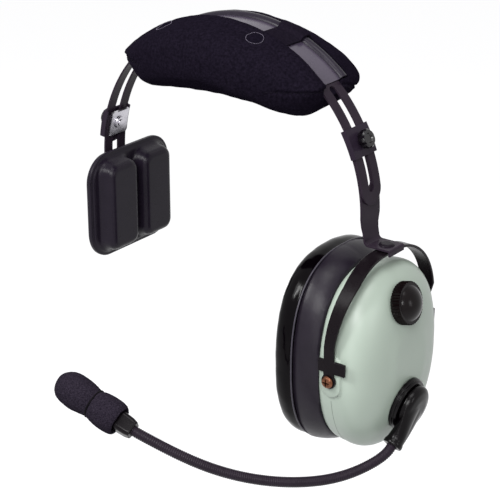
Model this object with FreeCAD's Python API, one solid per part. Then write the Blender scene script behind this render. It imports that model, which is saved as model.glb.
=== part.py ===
import FreeCAD, Part
import math
import os

# Aviation headset with one ear cup, a flexible microphone arm and a temple pad.
# Millimetres. +X is the wearer's left (the ear cup), -Y the wearer's front, +Z up.
# The origin is the middle of the crown pad's underside, where the headset rests on a head.

V = FreeCAD.Vector

# Running and seating clearances
SEAT = 0.1              # between fixed curved pieces
SLIDE = 0.3             # between pieces that slide or turn past each other
SHAFT = 0.05            # radial play of a pin in its hole

# Spring leaf over the head: an arc about the line y = anything, z = ARC_Z
PAD_DEPTH = 33.0        # pad underside to the leaf's middle at the crown
BAND_R = 82.0
BAND_T = 1.0
BAND_W = 16.0
BAND_END = 86.0         # degrees from the crown
SLOT_W = 4.4
SLOT_TOP = 45.0         # degrees, upper end of each long slot
SLOT_LOW = 80.0
BAND_OUT = BAND_R + BAND_T / 2
BAND_IN = BAND_R - BAND_T / 2
ARC_Z = PAD_DEPTH - BAND_R

# Channel cover along the top of the leaf
COVER_T = 0.7
COVER_END = 42.5
RIDGE_R = 2.75
RIDGE_Y = BAND_W / 2 + 3.2
COVER_R = BAND_OUT + SEAT

# Crown pad
PAD_END = 47.4
PAD_TOP_BACK = 3.2      # behind the leaf, above its middle
PAD_FRONT = 33.6
PAD_FRONT_END = 27.2
PAD_BACK = 29.0
PAD_BACK_END = 38.5
PAD_RISE = 13.0         # how much higher the underside is at the ends
PAD_FLAP = 0.9          # cloth over the front ridge
PAD_CROWN = 0.3         # rise from there to the pad's highest line
SNAP_R = 4.6
SNAP_T = 0.8
SNAP_UNDER = 0.3        # cloth between the snap and the ridge under the flap
STRAP_BAND_T = 1.1      # cloth strap across the cover
STRAP_BAND_FROM = 14.0
STRAP_BAND_TO = 24.0

# Arm straps and their clamps
ARM_T = 1.0
ARM_W = 15.9
ARM_SLOT_L = 20.0
ARM_OVER = 5.0          # clamp screw to the arm's upper end
ARM_R = BAND_IN - SLIDE / 2 - ARM_T / 2
CLAMP_RIGHT = 64.0      # degrees from the crown
CLAMP_LEFT = -77.5
CLAMP_L = 14.6
CLAMP_T = 0.9
CLAMP_GAP = 0.2         # leaf's edge to the clamp's flange
NUT_L = 13.5
NUT_W = 13.0
NUT_T = 1.5
SCREW_R = 1.9
GRIP_R = 4.6
GRIP_T = 4.6
GRIP_LOBES = 7

# The left arm follows the arc past its side, then runs straight to the hinge pin
LEFT_CURVE_END = 95.0
LEFT_RUN = 15.5

# Foot of the right arm, its rivet and the stirrup
FOOT_STRAIGHT = 4.6     # upright run below the arc, before the strap leans out
FOOT_SHIFT = 1.5        # how far out it is at the foot
FOOT_DROP = 12.8        # foot's top below the arc's centre line
FOOT_LENGTH = 14.8
FOOT_LIP = 3.2
FOOT_W = 12.7
BEND_R = 2.0
RIVET_R = 4.0
RIVET_SHANK = 2.0
RIVET_HEAD = 1.0
RIVET_TAIL = 0.7
RIVET_OUT = 8.4         # arm's lower end to the rivet
STIRRUP_T = 1.4
STIRRUP_W = 7.6
STIRRUP_LEG_W = 5.6     # strip's width at the pivots
FRONT_FLAT = 7.0        # flat top on each side of the rivet
REAR_FLAT = 3.8
FRONT_LEAN = 10.0       # below the stirrup's top, where its front leg starts to lean inwards
FRONT_LEAN_END = 38.0   # below the top, where it stands over the pivot
REAR_LEAN = 31.0
REAR_LEAN_END = 47.5
TEE_L = 15.0
TEE_H = 6.4
TEE_OUT = 1.6           # cross bar's middle beyond the pivot
TEE_GAP = 1.4           # screw head's edge to the cross bar
WASHER_T = 1.0
WASHER_RIM = 0.7        # washer beyond the rivet's head

# Ear cup: an oval about the line through CUP_Z, widest just inside the stirrup
CUP_INSIDE = 2.7        # swivel's axis to the cup's widest plane
CUP_Y = 38.7
CUP_ZH = 47.6
CUP_N = 2.35
CUP_DEPTH = 19.0
CUP_CROWN = 2.45
CUP_WALL = 2.2
CUP_BACK = 10.0         # widest plane to the rim
CUP_TAPER = 0.045       # how much smaller the rim is, as a share
CUP_DROP = 55.2         # stirrup's top to the cup's middle
PIVOT_BACK = 1.9        # cup's widest plane to the pivot screws
PIVOT_DROP = 0.6        # cup's middle to the pivot screws
PIVOT_R = 1.6
PIVOT_HEAD_R = 3.1
PIVOT_HEAD_T = 1.8
PIVOT_REACH = 6.0       # pivot screw in the cup
CROSS_L = 3.6           # driver's cross in each head
CROSS_W = 0.7
CROSS_DEEP = 0.8
BOSS_L = 21.0
BOSS_W = 10.8
BOSS_RISE = 1.2
BOSS_UP = 1.8           # boss's middle above the pivot
BOSS_DEEP = 9.0
SEAT_THICK = 3.5        # wall behind the knob's and the disc's seats
POST_R = 3.2            # screw posts in the cup
POST_BORE = 1.2
POST_DEEP = 9.0

# Flange, baffle, seal and what the cup holds
FLANGE_L = 12.4
FLANGE_Y = 41.2
FLANGE_ZH = 50.9
FLANGE_UP = 0.8         # flange's far rim above the cup's middle
FLANGE_STEP = 0.8       # beyond the cup's rim
FLANGE_WALL = 2.4
WEB_T = 1.8
SEAL_L = 12.6
SEAL_Y = 43.0
SEAL_ZH = 49.8
SEAL_UP = 1.8           # seal's middle above the cup's middle
SEAL_N = 2.5
SEAL_HOLE_Y = 21.5
SEAL_HOLE_Z = 31.0
LINER_T = 3.0
BAFFLE_T = 1.8
EARPHONE_R = 19.0
EARPHONE_T = 11.0
MAGNET_R = 9.0
MAGNET_T = 5.0
BOARD_Y = 30.0
BOARD_Z = 20.0
BOARD_T = 1.6
CASE_SCREW_Y = 23.0
CASE_SCREW_Z = 31.0
CASE_HEAD_R = 2.8
CASE_HEAD_T = 1.6
CASE_HOLE_R = 1.6
FOAM_RING_Y = 30.0      # damping foam behind the earphone
FOAM_RING_Z = 38.0
FOAM_ROOM_Y = 17.5
FOAM_ROOM_Z = 20.0
FOAM_RING_T = 4.0

# Volume control
KNOB_TILT = 14.0        # degrees above the horizontal
KNOB_Y = -5.0
KNOB_Z = 31.8           # above the cup's middle
KNOB_LOWER = 0.4        # flat seat's depth below the cup's face
KNOB_R = 10.2
KNOB_SKIRT = 5.2
KNOB_CAP_R = 8.8
KNOB_CAP = 4.4
KNOB_FLUTES = 44
KNOB_FLUTE_R = 0.5
KNOB_HOLLOW_R = 7.4
KNOB_HOLLOW = 2.6
POT_SHAFT = 3.0
POT_BUSH = 3.6
POT_R = 8.2
POT_L = 7.5
POT_NUT_R = 5.6
POT_NUT_T = 1.4

# Microphone arm: disc, holder and sleeve
DISC_TILT = 12.0        # degrees below the horizontal
DISC_Y = -2.0
DISC_Z = -22.0
DISC_LOWER = 1.0        # flat seat's depth below the cup's face
DISC_R = 13.5
DISC_T = 3.6
HOLDER_R = 11.4
HOLDER_T = 9.0
HOLDER_TURN = 46.0      # sleeve's angle forward of straight down
SLEEVE_R = 4.5
SLEEVE_L = 22.0
SLEEVE_H = 3.3          # sleeve's axis above the disc
SLEEVE_LIP = 0.5        # raised rim at the sleeve's end
SLEEVE_LIP_L = 2.4
STUD_R = 3.0
STUD_L = 12.0
STUD_WASHER_R = 6.5
STUD_WASHER_T = 1.0
STUD_WASHER_AT = 4.5    # washer's inner face behind the disc's seat
STUD_NUT_R = 5.8
STUD_NUT_T = 4.0

# Shoulder of the holder: (share of the sleeve's length, half width, height above its axis)
HOLDER_BLEND = [(0.0, 10.2, 2.3), (0.26, 9.6, 2.9), (0.48, 7.7, 3.6), (0.68, 5.8, 4.2), (0.86, 4.6, 4.5)]

# Gooseneck, with its route as steps from the end of the sleeve
NECK_R = 2.4
NECK_BORE = 1.3
NECK_RIBS = 150
NECK_RIB = 0.22
NECK_SEAT = 8.0
NECK_LEAD = 1.0         # straight run beyond the sleeve
NECK_ROUTE = [(-4.8, -9.6, -6.8), (-22.5, -44.6, -7.1), (-51.5, -80.2, 7.8), (-74.9, -97.2, 23.4)]
NECK_END = (-80.0, -98.3, 25.3)
MIC_AXIS = (-0.92, -0.12, 0.36)

# Microphone and its foam windscreen, as lengths along the microphone's axis
MIC_W = 9.4
MIC_H = 8.4
MIC_REAR = 0.82         # share of the section at the rear end
MIC_L = 22.0
MIC_WALL = 1.2
CAPSULE_R = 3.0
CAPSULE_L = 5.0
FOAM_FROM = 8.0
FOAM_L = 36.6
FOAM_R = 8.3
FOAM_WAIST = 7.0
FOAM_WAIST_AT = 15.2
FOAM_MOUTH = 5.9
TIE_R = 0.6

# Temple pad on the left arm
TEMPLE_HALF_Y = 31.9
TEMPLE_HALF_Z = 28.3
TEMPLE_MIDDLE_Y = -0.6
TEMPLE_CORNER = 14.0
TEMPLE_SHEET = 3.5
TEMPLE_RIM = 0.8
BAR_W = 25.6
BAR_L = 52.0
BAR_FACE_W = 21.0
BAR_FACE_L = 46.0
BAR_RISE = 8.7
BAR_PITCH = 27.2
BACKING_T = 1.5
BACKING_Y = 27.0
BACKING_Z = 22.0
HINGE_PIN = 1.5
HINGE_EYE = 2.6
HINGE_OFF = 4.4         # pin to the backing plate
EAR_T = 1.5
PAD_RIVET_R = 2.2
PAD_RIVET_Z = 17.0

# Cord inlet at the lower back of the cup
INLET_TURN = 50.0       # degrees from straight down, towards the back
INLET_BORE = 3.1
INLET_R = 5.4
INLET_COLLAR = 2.5
INLET_THREAD = 6.5

# Places worked out from the values above
FOOT_X = ARM_R + FOOT_SHIFT
STIRRUP_X = FOOT_X + RIVET_OUT
CUP_X = STIRRUP_X - CUP_INSIDE
PIVOT_X = CUP_X - PIVOT_BACK
RIM_X = CUP_X - CUP_BACK
FLANGE_X = RIM_X - FLANGE_L
SEAL_X = FLANGE_X - SEAL_L
FACE_X = CUP_X + CUP_DEPTH
FOOT_TOP = ARC_Z - FOOT_DROP
STIRRUP_TOP = FOOT_TOP - ARM_T - WASHER_T
CUP_Z = STIRRUP_TOP - CUP_DROP
PIVOT_Z = CUP_Z - PIVOT_DROP
BOSS_Y = CUP_Y + BOSS_RISE
STIRRUP_Y = BOSS_Y + SLIDE + STIRRUP_T


def sine(angle):
    return math.sin(math.radians(angle))


def cosine(angle):
    return math.cos(math.radians(angle))


def on_arc(angle, radius, y=0.0):
    return V(radius * sine(angle), y, ARC_Z + radius * cosine(angle))


def radial(angle):
    return V(sine(angle), 0, cosine(angle))


def arc_turn(face, start, end):
    """Turns a face of the x = 0 plane about the leaf's centre line."""
    face.rotate(V(0, 0, ARC_Z), V(0, 1, 0), start)
    return face.revolve(V(0, 0, ARC_Z), V(0, 1, 0), end - start)


def arc_bar(outline, start, end):
    """A bar along the arc, from a closed outline of (y, radius) corners."""
    corners = [V(0, y, ARC_Z + r) for y, r in outline]
    return arc_turn(Part.Face(Part.makePolygon(corners + corners[:1])), start, end)


def arc_plate(half_width, low, high, start, end):
    return arc_bar([(-half_width, low), (half_width, low), (half_width, high), (-half_width, high)], start, end)


def arc_pin(angle, radius, low, high, y=0.0):
    return Part.makeCylinder(radius, high - low, on_arc(angle, low, y), radial(angle))


def arc_slot(start, end, width, low, high):
    """A rounded slot cutter along the arc."""
    middle = arc_plate(width / 2, low, high, start, end)
    return middle.fuse([arc_pin(start, width / 2, low, high), arc_pin(end, width / 2, low, high)])


def joined(shapes):
    return shapes[0].fuse(shapes[1:]).removeSplitter()


def pin(radius, length, base, direction):
    return Part.makeCylinder(radius, length, base, direction)


def tube(radius, bore, length, base, direction):
    return pin(radius, length, base, direction).cut(pin(bore, length, base, direction))


def three_point(points):
    """Closed wire of arcs, each through three points of an even list."""
    count = len(points)
    edges = []
    for i in range(0, count, 2):
        edges.append(Part.Arc(points[i], points[i + 1], points[(i + 2) % count]).toShape())
    return Part.Wire(edges)


def power(value, exponent):
    return math.copysign(abs(value) ** exponent, value)


def oval(x, half_y, half_z, n, middle_z, steps=24):
    """Upright oval in a plane of constant x."""
    points = []
    for i in range(steps):
        c, s = cosine(360.0 * i / steps), sine(360.0 * i / steps)
        points.append(V(x, half_y * power(c, 2 / n), middle_z + half_z * power(s, 2 / n)))
    return three_point(points)


def rounded_wire(half_a, half_b, corner, place):
    """Rounded rectangle about the origin of the x = 0 plane, moved by place."""
    a, b = half_a - corner, half_b - corner
    k = corner * math.sqrt(0.5)
    edges = []
    for sa, sb in ((1, 1), (-1, 1), (-1, -1), (1, -1)):
        first, last = V(0, sa * half_a, sb * b), V(0, sa * a, sb * half_b)
        if sa * sb < 0:
            first, last = last, first
        middle = V(0, sa * (a + k), sb * (b + k))
        if edges:
            edges.append(Part.LineSegment(edges[-1].EndPoint, first))
        edges.append(Part.Arc(first, middle, last))
    edges.append(Part.LineSegment(edges[-1].EndPoint, edges[0].StartPoint))
    wire = Part.Wire([edge.toShape() for edge in edges])
    wire.Placement = place
    return wire


def at_x(x, y, z):
    return FreeCAD.Placement(V(x, y, z), FreeCAD.Rotation())


def solid_loft(wires, ruled=False):
    return Part.makeLoft(wires, True, ruled)


def disc_profile(corners, base, direction):
    """Turned solid from (radius, height) corners about a line."""
    points = [V(r, 0, h) for r, h in corners]
    face = Part.Face(Part.makePolygon(points + points[:1]))
    body = face.revolve(V(0, 0, 0), V(0, 0, 1), 360)
    body.Placement = FreeCAD.Placement(base, FreeCAD.Rotation(V(0, 0, 1), direction))
    return body


# Headband

def spring_band():
    round_off = math.degrees((BAND_W / 2) / BAND_R)
    straight = BAND_END - round_off
    pieces = [arc_plate(BAND_W / 2, BAND_IN, BAND_OUT, -straight, straight)]
    for side in (-1, 1):
        tip = arc_plate(BAND_W, BAND_IN, BAND_OUT, straight, BAND_END + 1)
        tip = tip.common(arc_pin(straight, BAND_W / 2, BAND_IN - 5, BAND_OUT + 5))
        pieces.append(tip if side > 0 else tip.mirror(V(0, 0, 0), V(1, 0, 0)))
    band = joined(pieces)
    for side in (-1, 1):
        ends = sorted((side * SLOT_TOP, side * SLOT_LOW))
        band = band.cut(arc_slot(ends[0], ends[1], SLOT_W, BAND_IN - 5, BAND_OUT + 5))
    return band


def half_ring(middle_y, outer, inner):
    """Arch face in the x = 0 plane, standing on the cover's inner radius."""
    z = ARC_Z + COVER_R
    wire = Part.Wire([
        Part.Arc(V(0, middle_y - outer, z), V(0, middle_y, z + outer), V(0, middle_y + outer, z)).toShape(),
        Part.makeLine(V(0, middle_y + outer, z), V(0, middle_y + inner, z)),
        Part.Arc(V(0, middle_y + inner, z), V(0, middle_y, z + inner), V(0, middle_y - inner, z)).toShape(),
        Part.makeLine(V(0, middle_y - inner, z), V(0, middle_y - outer, z)),
    ])
    return Part.Face(wire)


def channel_cover():
    inner = RIDGE_R - COVER_T
    plate = arc_plate(RIDGE_Y - inner, COVER_R, COVER_R + COVER_T, -COVER_END, COVER_END)
    ridges = [arc_turn(half_ring(y, RIDGE_R, inner), -COVER_END, COVER_END) for y in (-RIDGE_Y, RIDGE_Y)]
    return joined([plate] + ridges)


def pad_top():
    return COVER_R + RIDGE_R + SEAT + PAD_FLAP + PAD_CROWN


def pad_section(share):
    """Crown pad's section at a share of its half length, -1 to 1."""
    u = abs(share)
    blend = math.cos(u * math.pi / 2)
    narrow = (1 - u ** 3.6) ** (1 / 3.6)
    thin = (1 - u ** 8) ** (1 / 8)
    front = (PAD_FRONT_END + (PAD_FRONT - PAD_FRONT_END) * blend) * narrow
    back = (PAD_BACK_END + (PAD_BACK - PAD_BACK_END) * blend) * narrow
    low = BAND_R - PAD_DEPTH + PAD_RISE * u * u
    front_top = pad_top()
    back_top = BAND_R + PAD_TOP_BACK
    points = []
    for i in range(16):
        c, s = cosine(22.5 * i), sine(22.5 * i)
        y = (back if c > 0 else front) * power(c, 2 / 3.0)
        high = (front_top + back_top) / 2 - (front_top - back_top) / 2 * c
        middle = low + (high - low) * 0.45
        bulge = 2 / 3.0 if s > 0 else 2 / 2.3
        r = middle + (high - middle if s > 0 else middle - low) * thin * power(s, bulge)
        points.append(on_arc(share * PAD_END, r, y))
    return three_point(points)


def pad_trough():
    """Room in the pad for the leaf and the cover, under a flap of cloth at the front."""
    floor = BAND_IN - SEAT
    wall = RIDGE_Y + RIDGE_R + SEAT
    lip = RIDGE_Y - RIDGE_R - SEAT
    roof = COVER_R + RIDGE_R + SEAT
    high = BAND_R + 20
    bevel = RIDGE_R * 0.45
    outline = [(-wall, floor), (-wall, roof - bevel), (-wall + bevel, roof), (-lip - bevel, roof),
               (-lip, roof - bevel), (-lip, high), (wall, high), (wall, floor)]
    cover = arc_bar(outline, -COVER_END - 0.5, COVER_END + 0.5)
    leaf = arc_plate(BAND_W / 2 + SEAT, floor, high, -PAD_END - 4, PAD_END + 4)
    side = wall + STRAP_BAND_T + SEAT
    tape = arc_bar([(RIDGE_Y, COVER_R), (side, COVER_R), (side, high), (RIDGE_Y, high)],
                   STRAP_BAND_FROM - 0.2, STRAP_BAND_TO + 0.2)
    return cover.fuse([leaf, tape])


def snap_places():
    """The two snaps under the flap: angle along the arc and their middle's y."""
    return [(-21.5, -RIDGE_Y - 5.2), (16.5, -RIDGE_Y - 5.2)]


def snap_seat():
    return COVER_R + RIDGE_R + SEAT + SNAP_UNDER


def crown_pad():
    shares = (0.99, 0.95, 0.87, 0.75, 0.58, 0.38, 0.18)
    stations = [-s for s in shares] + [0.0] + [s for s in reversed(shares)]
    pad = solid_loft([pad_section(s) for s in stations]).cut(pad_trough())
    for angle, y in snap_places():
        pad = pad.cut(arc_pin(angle, SNAP_R + SEAT, snap_seat() - SEAT, BAND_R + 15, y))
    return pad


def pad_snaps():
    low = snap_seat()
    return Part.Compound([arc_pin(angle, SNAP_R, low, low + SNAP_T, y) for angle, y in snap_places()])


def cover_strap():
    """Cloth strap over the cover's flat middle and its rear ridge."""
    low, step = COVER_R + COVER_T + SEAT, STRAP_BAND_T
    near = RIDGE_Y - RIDGE_R - SEAT
    far = RIDGE_Y + RIDGE_R + SEAT
    crest = COVER_R + RIDGE_R + SEAT
    cut = RIDGE_R * 0.45
    outline = [(-near + SEAT, low), (near, low), (near + cut, crest), (far - cut, crest), (far, crest - cut),
               (far, low), (far + step, low), (far + step, crest - cut + step), (far - cut, crest + step),
               (near, crest + step), (near - step, low + step), (-near + SEAT, low + step)]
    return arc_bar(outline, STRAP_BAND_FROM, STRAP_BAND_TO)


# Arms and clamps

def arm_top(clamp, last):
    """Upper part of an arm: an arc from above the clamp screw to its last angle."""
    side = 1 if clamp > 0 else -1
    above = math.degrees(ARM_OVER / ARM_R)
    ends = sorted((clamp - side * above, side * last))
    return arc_plate(ARM_W / 2, ARM_R - ARM_T / 2, ARM_R + ARM_T / 2, ends[0], ends[1])


def arm_slot(clamp):
    side = 1 if clamp > 0 else -1
    low = clamp + side * min(math.degrees(ARM_SLOT_L / ARM_R), 88.5 - abs(clamp))
    ends = sorted((clamp, low))
    return arc_slot(ends[0], ends[1], SLOT_W, ARM_R - 5, ARM_R + 5)


def side_sheet(outline, width):
    """Sheet part: a closed outline of (x, z) corners, as wide as given along y."""
    corners = [V(x, -width / 2, z) for x, z in outline]
    return Part.Face(Part.makePolygon(corners + corners[:1])).extrude(V(0, width, 0))


def bend_edges(shape, radius, places):
    """Rounds the y-wise edges that run through the given (x, z) places."""
    chosen = []
    for edge in shape.Edges:
        middle = edge.CenterOfMass
        for x, z in places:
            if abs(middle.x - x) < 0.01 and abs(middle.z - z) < 0.01 and edge.Length > 5:
                chosen.append(edge)
    return shape.makeFillet(radius, chosen)


def right_arm():
    """Strap along the arc, with its foot bent out over the stirrup."""
    half, low, bend = ARM_T / 2, FOOT_TOP - ARM_T, ARC_Z - FOOT_STRAIGHT
    inner, outer = FOOT_X - half, FOOT_X + half
    end, lip = inner + FOOT_LENGTH, low - FOOT_LIP + ARM_T
    outline = [(ARM_R - half, ARC_Z), (ARM_R + half, ARC_Z), (ARM_R + half, bend), (outer, FOOT_TOP),
               (end, FOOT_TOP), (end, lip), (end - ARM_T, lip), (end - ARM_T, low), (inner, low),
               (ARM_R - half, bend)]
    foot = side_sheet(outline, ARM_W)
    foot = bend_edges(foot, BEND_R, [(outer, FOOT_TOP)])
    foot = bend_edges(foot, BEND_R + ARM_T, [(inner, low)])
    foot = bend_edges(foot, ARM_T, [(end, FOOT_TOP)])
    neck, under = low + FOOT_DROP / 2, low - 2 * FOOT_LIP
    corners = [V(0, ARM_W / 2, ARC_Z), V(0, FOOT_W / 2, neck), V(0, FOOT_W / 2, under),
               V(0, -FOOT_W / 2, under), V(0, -FOOT_W / 2, neck), V(0, -ARM_W / 2, ARC_Z)]
    taper = Part.Face(Part.makePolygon(corners + corners[:1])).extrude(V(2 * STIRRUP_X, 0, 0))
    arm = joined([arm_top(CLAMP_RIGHT, 90.0), foot.common(taper)]).cut(arm_slot(CLAMP_RIGHT))
    return arm.cut(pin(RIVET_SHANK + SHAFT, 3 * ARM_T, V(STIRRUP_X, 0, low - ARM_T), V(0, 0, 1)))


def hinge_place(y=0.0):
    """A point of the temple pad's hinge line."""
    down = V(-cosine(-LEFT_CURVE_END), 0, sine(-LEFT_CURVE_END))
    return on_arc(-LEFT_CURVE_END, ARM_R, y) + down * LEFT_RUN


def left_arm():
    start, end = on_arc(-LEFT_CURVE_END, ARM_R), hinge_place()
    out = radial(-LEFT_CURVE_END) * (ARM_T / 2)
    corners = [start + out, end + out, end - out, start - out]
    sheet = side_sheet([(corner.x, corner.z) for corner in corners], ARM_W)
    eye = pin(HINGE_EYE, ARM_W, hinge_place(-ARM_W / 2), V(0, 1, 0))
    arm = joined([arm_top(CLAMP_LEFT, LEFT_CURVE_END), sheet, eye]).cut(arm_slot(CLAMP_LEFT))
    return arm.cut(pin(HINGE_PIN, ARM_W + 2, hinge_place(-ARM_W / 2 - 1), V(0, 1, 0)))


def clamp_plate(clamp):
    half = math.degrees(CLAMP_L / 2 / BAND_OUT)
    wide = max(BAND_W, ARM_W) / 2 + CLAMP_GAP
    low = BAND_OUT + SEAT
    foot = BAND_IN - ARM_T
    outline = [(-wide - CLAMP_T, foot), (-wide, foot), (-wide, low), (wide, low), (wide, foot),
               (wide + CLAMP_T, foot), (wide + CLAMP_T, low + CLAMP_T), (-wide - CLAMP_T, low + CLAMP_T)]
    plate = arc_bar(outline, clamp - half, clamp + half)
    return plate.cut(arc_pin(clamp, SCREW_R + SHAFT, BAND_IN, BAND_OUT + 10))


def nut_plate(clamp):
    half = math.degrees(NUT_L / 2 / ARM_R)
    high = ARM_R - ARM_T / 2 - SEAT
    plate = arc_plate(NUT_W / 2, high - NUT_T, high, clamp - half, clamp + half)
    collar = arc_pin(clamp, SCREW_R + 1.5, high - NUT_T - 1.0, high - NUT_T + 0.5)
    return joined([plate, collar]).cut(arc_pin(clamp, SCREW_R + SHAFT, high - 10, high + 5))


def clamp_screw(clamp):
    low = ARM_R - ARM_T / 2 - SEAT - NUT_T - 1.5
    return arc_pin(clamp, SCREW_R, low, BAND_OUT + SEAT + CLAMP_T + SLIDE + GRIP_T - 2.0)


def clamp_grip(clamp):
    """Lobed thumb grip with a shallow dished face."""
    low = BAND_OUT + SEAT + CLAMP_T + SLIDE
    base, axis = on_arc(clamp, low), radial(clamp)
    edge = 0.6
    grip = disc_profile([(0, 0), (GRIP_R - 1.2, 0), (GRIP_R, 1.2), (GRIP_R, GRIP_T - edge),
                         (GRIP_R - edge, GRIP_T), (2.6, GRIP_T), (2.0, GRIP_T - 0.8), (0, GRIP_T - 0.8)],
                        base, axis)
    across = V(0, 1, 0)
    along = axis.cross(across)
    for i in range(GRIP_LOBES):
        turn = 360.0 * i / GRIP_LOBES
        place = base + (across * cosine(turn) + along * sine(turn)) * (GRIP_R + 0.6) - axis
        grip = grip.cut(pin(1.3, GRIP_T + 2, place, axis))
    return grip.cut(pin(SCREW_R, GRIP_T - 2.0, base, axis))


# Stirrup

def swivel_rivet():
    up = V(0, 0, 1)
    head = disc_profile([(0, 0), (RIVET_R, 0), (RIVET_R - 0.5, RIVET_HEAD * 0.7), (RIVET_R - 1.6, RIVET_HEAD),
                         (0, RIVET_HEAD)], V(STIRRUP_X, 0, FOOT_TOP), up)
    low = STIRRUP_TOP - STIRRUP_T
    shank = pin(RIVET_SHANK, FOOT_TOP - low, V(STIRRUP_X, 0, low), up)
    tail = pin(RIVET_R - 0.6, RIVET_TAIL, V(STIRRUP_X, 0, low - RIVET_TAIL), up)
    return joined([head, shank, tail])


def swivel_washer():
    return tube(RIVET_R + WASHER_RIM, RIVET_SHANK + SHAFT, WASHER_T, V(STIRRUP_X, 0, STIRRUP_TOP), V(0, 0, 1))


def arch_wire(half, top, front, rear, foot):
    """Upside-down U, square to x: flat top, a round corner at each side, straight legs."""
    k = 1 - math.sqrt(0.5)
    x = PIVOT_X - STIRRUP_W / 2
    points = [V(x, -half, foot), V(x, -half, top - front), V(x, k * front - half, top - k * front),
              V(x, front - half, top), V(x, half - rear, top), V(x, half - k * rear, top - k * rear),
              V(x, half, top - rear), V(x, half, foot)]
    edges = [
        Part.makeLine(points[0], points[1]), Part.Arc(points[1], points[2], points[3]).toShape(),
        Part.makeLine(points[3], points[4]), Part.Arc(points[4], points[5], points[6]).toShape(),
        Part.makeLine(points[6], points[7]), Part.makeLine(points[7], points[0]),
    ]
    return Part.Wire(edges)


def stirrup():
    """Flat strap bent over the cup; its legs lean back from the rivet to the pivots."""
    front, rear = STIRRUP_Y - FRONT_FLAT, STIRRUP_Y - REAR_FLAT
    low, t = STIRRUP_TOP - STIRRUP_T, STIRRUP_T
    width = V(STIRRUP_X - PIVOT_X + STIRRUP_W, 0, 0)
    outer = Part.Face(arch_wire(STIRRUP_Y, STIRRUP_TOP, front, rear, PIVOT_Z)).extrude(width)
    inner = Part.Face(arch_wire(STIRRUP_Y - t, low, front - t, rear - t, PIVOT_Z - t)).extrude(width)
    strip = outer.cut(inner)
    far = 2 * STIRRUP_Y
    legs = []
    for side, start, stop in ((-1, FRONT_LEAN, FRONT_LEAN_END), (1, REAR_LEAN, REAR_LEAN_END)):
        stations = [(STIRRUP_X, STIRRUP_W, STIRRUP_TOP + t), (STIRRUP_X, STIRRUP_W, STIRRUP_TOP - start),
                    (PIVOT_X, STIRRUP_LEG_W, STIRRUP_TOP - stop), (PIVOT_X, STIRRUP_LEG_W, PIVOT_Z - t)]
        corners = [V(x + wide / 2, 0, z) for x, wide, z in stations]
        corners += [V(x - wide / 2, 0, z) for x, wide, z in reversed(stations)]
        form = Part.Face(Part.makePolygon(corners + corners[:1])).extrude(V(0, side * far, 0))
        legs.append(strip.common(form))
    pieces = legs
    tee_low = PIVOT_Z + PIVOT_HEAD_R + TEE_GAP
    for side in (-1, 1):
        y = side * (STIRRUP_Y - STIRRUP_T / 2) - STIRRUP_T / 2
        box = Part.makeBox(TEE_L, STIRRUP_T, TEE_H, V(PIVOT_X + TEE_OUT - TEE_L / 2, y, tee_low))
        lug = pin(PIVOT_HEAD_R + STIRRUP_T / 2, STIRRUP_T, V(PIVOT_X, y, PIVOT_Z), V(0, 1, 0))
        pieces += [box, lug]
    frame = joined(pieces)
    hole = pin(PIVOT_R + SHAFT, 2 * far, V(PIVOT_X, -far, PIVOT_Z), V(0, 1, 0))
    rivet_seat = V(STIRRUP_X, 0, STIRRUP_TOP - 2 * STIRRUP_T)
    rivet_hole = pin(RIVET_SHANK + SHAFT, 3 * STIRRUP_T, rivet_seat, V(0, 0, 1))
    return frame.cut(hole).cut(rivet_hole)


def pivot_screws():
    """Pan-head shoulder screws through the stirrup into the cup's bosses."""
    screws = []
    length = STIRRUP_T + 2 * SLIDE + PIVOT_REACH
    for side in (-1, 1):
        out = V(0, side, 0)
        seat = V(PIVOT_X, side * (STIRRUP_Y + SLIDE), PIVOT_Z)
        shank = pin(PIVOT_R, length, seat - out * length, out)
        r, t = PIVOT_HEAD_R, PIVOT_HEAD_T
        outline = [(0, 0), (r, 0), (r, t * 0.35), (r * 0.8, t * 0.8), (r * 0.45, t), (0, t)]
        head = disc_profile(outline, seat, out)
        middle = seat + out * (t - CROSS_DEEP)
        bars = []
        for x, z in ((CROSS_L, CROSS_W), (CROSS_W, CROSS_L)):
            bars.append(Part.makeBox(x, 2 * CROSS_DEEP, z, middle - V(x / 2, CROSS_DEEP, z / 2)))
        screws.append(joined([head, shank]).cut(bars))
    return Part.Compound(screws)


# Ear cup

def cup_scale(x):
    """Half size of the cup at x, as a share of its size in the stirrup's plane."""
    if x <= CUP_X:
        back = (CUP_X - x) / CUP_BACK
        return 1 - CUP_TAPER * back * back
    depth = (x - CUP_X) / CUP_DEPTH
    return (1 - depth ** CUP_CROWN) ** (1 / CUP_CROWN)


def cup_form(inset):
    """The cup's solid form, drawn in evenly by the inset."""
    shares = (-1.0, -0.5, 0.0, 0.25, 0.45, 0.62, 0.76, 0.87, 0.94, 0.98)
    wires = []
    for share in shares:
        x = CUP_X + share * (CUP_BACK if share < 0 else CUP_DEPTH)
        scale = cup_scale(x)
        shift = inset * share if share > 0 else 0
        wires.append(oval(x - shift, (CUP_Y - inset) * scale, (CUP_ZH - inset) * scale, CUP_N, CUP_Z))
    return solid_loft(wires)


def knob_axis():
    return V(cosine(KNOB_TILT), 0, sine(KNOB_TILT))


def disc_axis():
    return V(cosine(DISC_TILT), 0, -sine(DISC_TILT))


def seat_place(y, z, lower):
    """Point of the cup's outer face at (y, z) from its middle, lowered inwards."""
    reach = (abs(y) / CUP_Y) ** CUP_N + (abs(z) / CUP_ZH) ** CUP_N
    scale = reach ** (1 / CUP_N)
    depth = (1 - scale ** CUP_CROWN) ** (1 / CUP_CROWN)
    return V(CUP_X + depth * CUP_DEPTH - lower, y, CUP_Z + z)


def knob_seat():
    return seat_place(KNOB_Y, KNOB_Z, KNOB_LOWER)


def disc_seat():
    return seat_place(DISC_Y, DISC_Z, DISC_LOWER)


def inlet_axis():
    return V(0, sine(INLET_TURN), -cosine(INLET_TURN))


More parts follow.
